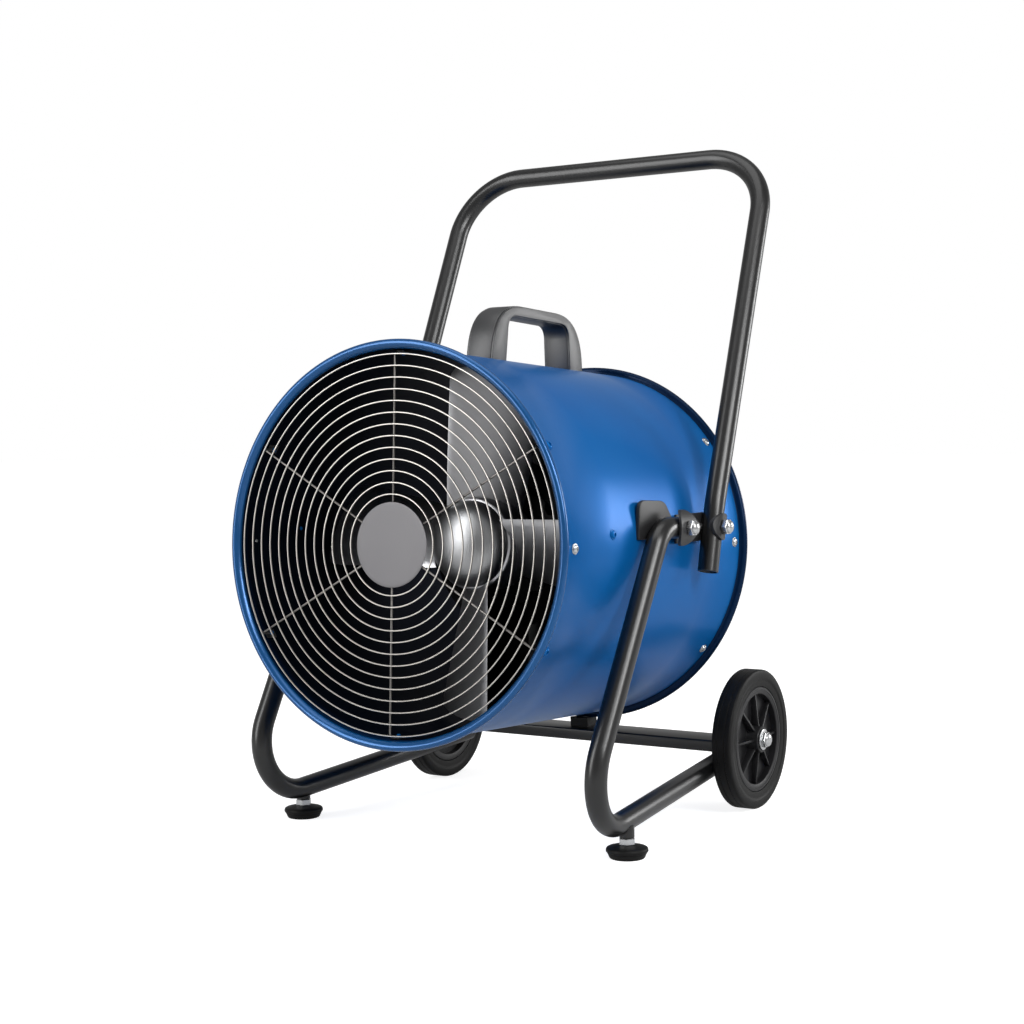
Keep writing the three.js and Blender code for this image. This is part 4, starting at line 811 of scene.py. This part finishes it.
# A round washer bent over a tube that leans by an angle
def saddleShape(disc, bend, thickness, lean):
    points, faces = [], []
    bore, rings, count = 5.4, 10, 48
    for face in (0, thickness):
        for i in range(rings + 1):
            radius = bore + (disc - bore) * i / rings
            for k in range(count):
                a = 2 * math.pi * k / count
                u, v = radius * math.cos(a), radius * math.sin(a)
                across = u * math.cos(lean) + v * math.sin(lean)
                points.append((math.sqrt((bend + face) ** 2 - across ** 2) - bend, u, v))
    layer = (rings + 1) * count
    for base in (0, layer):
        for i in range(rings):
            for k in range(count):
                a, b = base + i * count + k, base + i * count + (k + 1) % count
                faces.append([a, b, b + count, a + count])
    for i in (0, rings):
        for k in range(count):
            a, b = i * count + k, i * count + (k + 1) % count
            faces.append([a, b, b + layer, a + layer])
    return points, faces


ear = {"front": -68, "low": -14, "high": 31, "boss": 17, "inner": 220.6, "outer": 225.3}


def pivotSide(side, word):
    low = word.lower()
    mirror = mirroredX(side)
    washer = Form(floorSpace @ mirror @ Matrix.Translation((tilt["saddleX"], 0, tilt["z"])))
    lean = math.radians(90) - math.atan2(1.3, 33)  # along the top run of the frame tube
    washer.add(saddleShape(disc=21, bend=26, thickness=3, lean=lean), "bracket")
    washer.done(f"tiltSaddle{word}", "frame", [f"tilt_saddle_{low}"], "black_paint")
    cap = Form(pivotSpace @ mirror @ Matrix.Translation((tilt["nutX"], 0, 0)))
    for shape in nutShape(**capNut):
        cap.add(shape, "zinc")
    cap.done(f"tiltNut{word}", "drum", [f"tilt_nut_{low}"], "zinc")
    collar = Form(floorSpace @ mirror @ Matrix.Translation((fold["saddleX"], fold["y"], fold["z"])))
    lean = -math.atan2(13.3, 53)  # along the lower end of the push handle
    collar.add(saddleShape(disc=16, bend=18, thickness=3, lean=lean), "bracket")
    collar.done(f"handleSaddle{word}", "handle", [f"handle_saddle_{low}"], "black_paint")
    cap = Form(floorSpace @ mirror @ Matrix.Translation((fold["nutX"], fold["y"], fold["z"])))
    for shape in nutShape(**capNut):
        cap.add(shape, "zinc")
    cap.done(f"handleNut{word}", "frame", [f"handle_nut_{low}"], "zinc")
    front, under, over, boss = ear["front"], ear["low"], ear["high"], ear["boss"]
    outline = [(front, under)] + curve((front, boss), (front, over), (front + 14, over), 10)
    outline += curve((-20, over), (-6, over), (0, 24), 8) + arc(0, 0, boss, 45, -45, 16) + [(0, under)]
    plate = Form(pivotSpace @ mirror)
    plate.add(slab(outline, ear["inner"], ear["outer"], 0.8, 3), "bracket")
    plate.add(turned([(0, 224), (5, 224), (5, 261), (4.3, 261.6), (0, 261.6)], 24, "x"), "zinc")
    plate.done(f"pivotEar{word}", "drum", [f"pivot_bracket_{low}"], "black_paint")


for side, word in ((1, "Right"), (-1, "Left")):
    frameSide(side, word)
    pivotSide(side, word)

half = [(tube["handleX"], 75.7, 308), (tube["handleX"], 95, 385), (tube["handleX"] - 12, 285.5, 830)]
corners = half + [(-x, y, z) for x, y, z in reversed(half)]
pushBar = Form(floorSpace)
stations = bentPath(corners, tube["handleBends"], 3)
pushBar.add(swept(stations, circle(tube["radius"], 40), tubeEnd), "black")
pushBar.done("pushBar", "handle", ["push_handle"], "black_paint")
print("frame built")

# Cross bar with axle lugs, and the rubber stop under the drum

barFit = {"half": 218, "front": -36, "rear": 4, "low": 12.8, "high": 27.8, "lug": 12}
half, front, rear = barFit["half"], barFit["front"], barFit["rear"]
low, high = barFit["low"], barFit["high"]
bar = Form(barSpace)
bar.add(block((-half, front, low), (half, rear, high), 2.2, 3), "black")
lug = [(front, low)] + arc(1.8, 24.93, barFit["lug"], -90, 90, 30) + [(front, high)]
for side in (1, -1):
    bar.add(slab(lug, 214.9, 219.9, 0.7, 2), "black", mirroredX(side))
bar.done("crossTube", "frame", ["cross_bar"], "black_paint")
stop = bpy.data.objects["tilt_stop"]
stop.data.materials.clear()
stop.data.materials.append(looks["rubber"])
modifier = stop.modifiers.new("softEdges", "BEVEL")
modifier.width, modifier.segments = 0.0012, 3

# Wheels

wheel = {"inner": 220.5, "outer": 247.5, "bushIn": 222.6, "bushOut": 251, "washer": 251.45,
         "nut": 253.1, "ribs": 8}
# Turns a rib's slab so that its outline is (radius, x) and its thickness lies across them
ribTurn = Matrix(((0, 0, 1, 0), (1, 0, 0, 0), (0, 1, 0, 0), (0, 0, 0, 1)))


def wheelSide(side, word):
    low = word.lower()
    space = wheelSpace @ mirroredX(side)
    i, o = wheel["inner"], wheel["outer"]
    bushIn, bushOut = wheel["bushIn"], wheel["bushOut"]
    half = [(66.2, i + 3.2), (66.4, i + 2.5), (68, i + 2.1), (73, i + 1.5), (75.4, i + 1.3),
            (75.8, i + 0.9), (78.4, i + 0.7), (81.5, i + 0.6), (84, i + 0.8), (85.8, i + 1.2),
            (86.8, i + 1.9), (87.4, i + 2.9), (87.5, i + 4), (87.5, i + 8.2), (86.9, i + 8.6),
            (86.9, i + 9.3), (87.5, i + 9.7)]
    profile = half + [(r, i + o - x) for r, x in reversed(half)]
    rubber = Form(space)
    rubber.add(turned(profile, 160, "x", True), "tyre")
    rubber.done(f"tyreRing{word}", f"wheel_{low}", [f"tyre_{low}"], "tyre", 50)
    rim = Form(space)
    band = [(57, i + 2.6), (57.6, i + 2.2), (64.8, i + 2.2), (65.7, i + 3), (65.7, o - 3), (64.9, o - 2.2),
            (62.4, o - 2.0), (61.8, o - 2.6), (57.8, o - 2.8), (57, o - 3.4), (56.6, 235.6), (17.6, 235.4),
            (17, 237), (16.4, 250.2), (15.6, bushOut), (9.2, bushOut), (8.6, 250.4), (8.4, bushIn),
            (16.2, bushIn), (17, 223.4), (17.4, 231.2), (56.4, 231.2)]
    rim.add(turned(band, 128, "x", True), "rim")
    rib = [(15, 234), (15, 246.5), (20, 245.4), (57.5, 241.4), (57.5, 234)]
    for k in range(wheel["ribs"]):
        rim.add(slab(rib, -1.3, 1.3, 0.5, 2), "rim", turnX(360 / wheel["ribs"] * k) @ ribTurn)
    rim.done(f"rimCasting{word}", f"wheel_{low}", [f"wheel_rim_{low}"], "rim_plastic")
    sleeve = Form(space)
    bush = [(6.4, bushIn), (8.1, bushIn), (8.1, bushOut), (7.8, 251.3), (6.7, 251.3), (6.4, bushOut)]
    sleeve.add(turned(bush, 48, "x", True), "bush")
    sleeve.done(f"wheelBush{word}", f"wheel_{low}", [f"wheel_bush_{low}"], "bush")
    pin = Form(space)
    axle = [(0, 215.2), (5.6, 215.2), (6, 215.6), (6, 220.2), (9.6, 220.2), (10, 220.5), (10, 221.9),
            (9.6, 222.2), (6, 222.2), (6, 257), (5.4, 257.6), (0, 257.6)]
    pin.add(turned(axle, 48, "x"), "zinc")
    pin.done(f"axlePin{word}", "frame", [f"axle_{low}"], "zinc")
    disc = Form(space)
    seat = wheel["washer"]
    washer = [(6.4, seat), (12.8, seat), (13, 251.65), (13, 252.6), (12.7, 252.8), (6.6, 252.8)]
    disc.add(turned(washer, 48, "x", True), "zinc")
    disc.done(f"axleWasher{word}", "frame", [f"axle_washer_{low}"], "zinc")
    nut = Form(space @ Matrix.Translation((wheel["nut"], 0, 0)))
    for shape in nutShape(flats=18, hexHeight=4.5, dome=4.5):
        nut.add(shape, "zinc")
    nut.done(f"axleNut{word}", "frame", [f"axle_nut_{low}"], "zinc")


for side, word in ((1, "Right"), (-1, "Left")):
    wheelSide(side, word)
print("wheels built")

# Levelling feet: pad, lock nut and threaded stud

def footSide(side, word):
    low = word.lower()
    space = floorSpace @ Matrix.Translation((side * foot["x"], -foot["reach"], 0))
    pad = [(0, 0), (18.6, 0), (19.4, 0.3), (20.2, 1.2), (22.2, 5.6), (22.5, 6.4), (22.3, 6.8), (22.6, 7.1),
           (23.5, 7.3), (23.9, 7.9), (24, 9), (23.8, 10.6), (23.1, 11.8), (21.8, 12.5), (18.6, 13.3),
           (14.6, 14.1), (11.8, 14.8), (10.8, 15), (5.6, 15), (5.4, 14.6), (5.4, 5), (0, 5)]
    rubber = Form(space)
    rubber.add(turned(pad, 72, "z"), "rubber")
    rubber.done(f"footPad{word}", f"foot_{low}", [f"foot_pad_{low}"], "rubber", 50)
    nut = Form(space)
    corner = foot["nutFlats"] / 2 * cornerShare
    hexagon = [(5.3, 15.3), (corner * 0.93, 15.3), (corner, 15.9), (corner, 22),
               (corner * 0.93, 22.6), (5.3, 22.6)]
    nut.add(turned(hexagon, 6, "z", True), "zinc")
    nut.done(f"footNut{word}", f"foot_{low}", [f"foot_nut_{low}"], "zinc")
    thread = [(0, 5.3), (4.6, 5.3)]
    for k in range(foot["turns"]):
        thread += [(5, 6 + k * foot["pitch"]), (4.55, 6.65 + k * foot["pitch"])]
    thread += [(4.2, 43.6), (0, 44)]
    stud = Form(space)
    stud.add(turned(thread, 32, "z"), "zinc")
    stud.done(f"footStud{word}", f"foot_{low}", [f"foot_stud_{low}"], "zinc", 25)


for side, word in ((1, "Right"), (-1, "Left")):
    footSide(side, word)
print("feet built")

# Camera at the photograph's place

photo = {"azimuth": 32.31, "elevation": 2.42, "roll": -0.76, "distance": 2.31082,
         "aim": (-0.02137, 0.053, 0.37696), "focal": 1834.97, "pixels": 1024}
azimuth, elevation, roll = (math.radians(photo[key]) for key in ("azimuth", "elevation", "roll"))
flat = math.cos(elevation)
back = Vector((math.sin(azimuth) * flat, -math.cos(azimuth) * flat, math.sin(elevation)))
right = Vector((math.cos(azimuth), math.sin(azimuth), 0))
up = back.cross(right)
across = right * math.cos(roll) + up * math.sin(roll)
above = up * math.cos(roll) - right * math.sin(roll)
aimX, aimY, aimZ = photo["aim"]
spot = Vector((aimX, tiltPivot.y + aimY, aimZ)) + back * photo["distance"]
camera = bpy.data.objects.new("camera", bpy.data.cameras.new("camera"))
bpy.context.collection.objects.link(camera)
turn = Matrix((across, above, back)).transposed().to_4x4()
camera.matrix_world = Matrix.Translation(spot) @ turn
camera.data.sensor_width = 36
camera.data.lens = photo["focal"] / photo["pixels"] * camera.data.sensor_width
bpy.context.scene.camera = camera

# Studio: white paper floor and room, soft boxes

# In reflections the backdrop fades from white at the skyline to the room's grey at the ceiling.
# How white it is goes from the share front, ahead of the blower, to the share behind, at its back
studio = {"room": 0.35, "paper": 0.6, "paperGlow": 0.82, "skyline": 0.12, "ceiling": 0.4,
          "front": 0.14, "behind": 0.4, "floorGloss": 0.22, "floor": 60}


# 1 for what the camera sees, share for what shows in mirrors and through glass, else 0
def whiteRay(tree, share):
    seen, glossy, through = (
        addNode(tree, "LightPath", {}, {}, f"Is {kind} Ray") for kind in ("Camera", "Glossy", "Transmission"))
    return (seen + (glossy + through) * share).clamped()


world = bpy.data.worlds.new("studio")
bpy.context.scene.world = world
world.use_nodes = True
tree = world.node_tree
tree.nodes.clear()
heading = addNode(tree, "TexCoord", {}, {}, "Generated")
rise = addNode(tree, "SeparateXYZ", {}, {0: heading}, "Z").ramp(studio["ceiling"], studio["skyline"])
behind = addNode(tree, "SeparateXYZ", {}, {0: heading}, "Y").ramp(-0.4, 0.4)
backdrop = rise * (behind * (studio["behind"] - studio["front"]) + studio["front"])
room, white = (
    addNode(tree, "Background", {}, {"Color": (1, 1, 1), "Strength": strength}, 0)
    for strength in (studio["room"], 1))
choice = addNode(tree, "MixShader", {}, {0: whiteRay(tree, backdrop), 1: room, 2: white}, 0)
feed(tree, tree.nodes.new("ShaderNodeOutputWorld").inputs["Surface"], choice)

softBoxes = {
    "topBox": {"at": (0.1, -0.3, 2.3), "aim": (0, 0, 0.3), "size": (1.6, 1.6), "watts": 14},
    "rearBox": {"at": (1.85, 2.3, 0.85), "aim": (0.1, 0, 0.45), "size": (0.8, 0.9), "watts": 24},
    "rightBox": {"at": (2.1, -0.55, 1.35), "aim": (0.1, 0, 0.4), "size": (0.5, 1.0), "watts": 24},
    "leftBox": {"at": (-1.5, -2.4, 1.4), "aim": (0, 0, 0.5), "size": (0.9, 2.4), "watts": 46},
    "keyBox": {"at": (1.75, -1.0, 1.9), "aim": (0, 0, 0.4), "size": (0.6, 0.9), "watts": 14},
}
for name, box in softBoxes.items():
    light = bpy.data.lights.new(name, "AREA")
    light.shape = "RECTANGLE"
    light.size, light.size_y = box["size"]
    light.energy = box["watts"]
    lamp = bpy.data.objects.new(name, light)
    lamp.location = box["at"]
    lamp.rotation_mode = "QUATERNION"
    lamp.rotation_quaternion = (Vector(box["aim"]) - Vector(box["at"])).to_track_quat("-Z", "Y")
    bpy.context.collection.objects.link(lamp)

floorMesh = bpy.data.meshes.new("floor")
reach = studio["floor"] / 2
corners = [(-reach, -reach, 0), (reach, -reach, 0), (reach, reach, 0), (-reach, reach, 0)]
floorMesh.from_pydata(corners, [], [(0, 1, 2, 3)])
floor = bpy.data.objects.new("floor", floorMesh)
bpy.context.collection.objects.link(floor)
paper = Look("floorPaper")
fibre = paper.noise(300, 3)
grey = studio["paper"]
pale = grey + 0.02
sheet = {"Base Color": paper.mixed(fibre, (grey, grey, grey), (pale, pale, pale)), "Roughness": 0.9,
         "Specular IOR Level": 0.1, "Normal": paper.bumped(fibre, 0.02, 0.0002), "Emission Color": (1, 1, 1)}
plain, glowing = (
    paper.node("BsdfPrincipled", {}, {**sheet, "Emission Strength": glow}, 0)
    for glow in (0, studio["paperGlow"]))
mix = {0: whiteRay(paper.tree, studio["floorGloss"]), 1: plain, 2: glowing}
feed(paper.tree, paper.output.inputs["Surface"], paper.node("MixShader", {}, mix, 0))
floorMesh.materials.append(paper.material)
floor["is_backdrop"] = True

bpy.context.scene.view_settings.view_transform = "Standard"
print("studio set")

low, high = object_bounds()
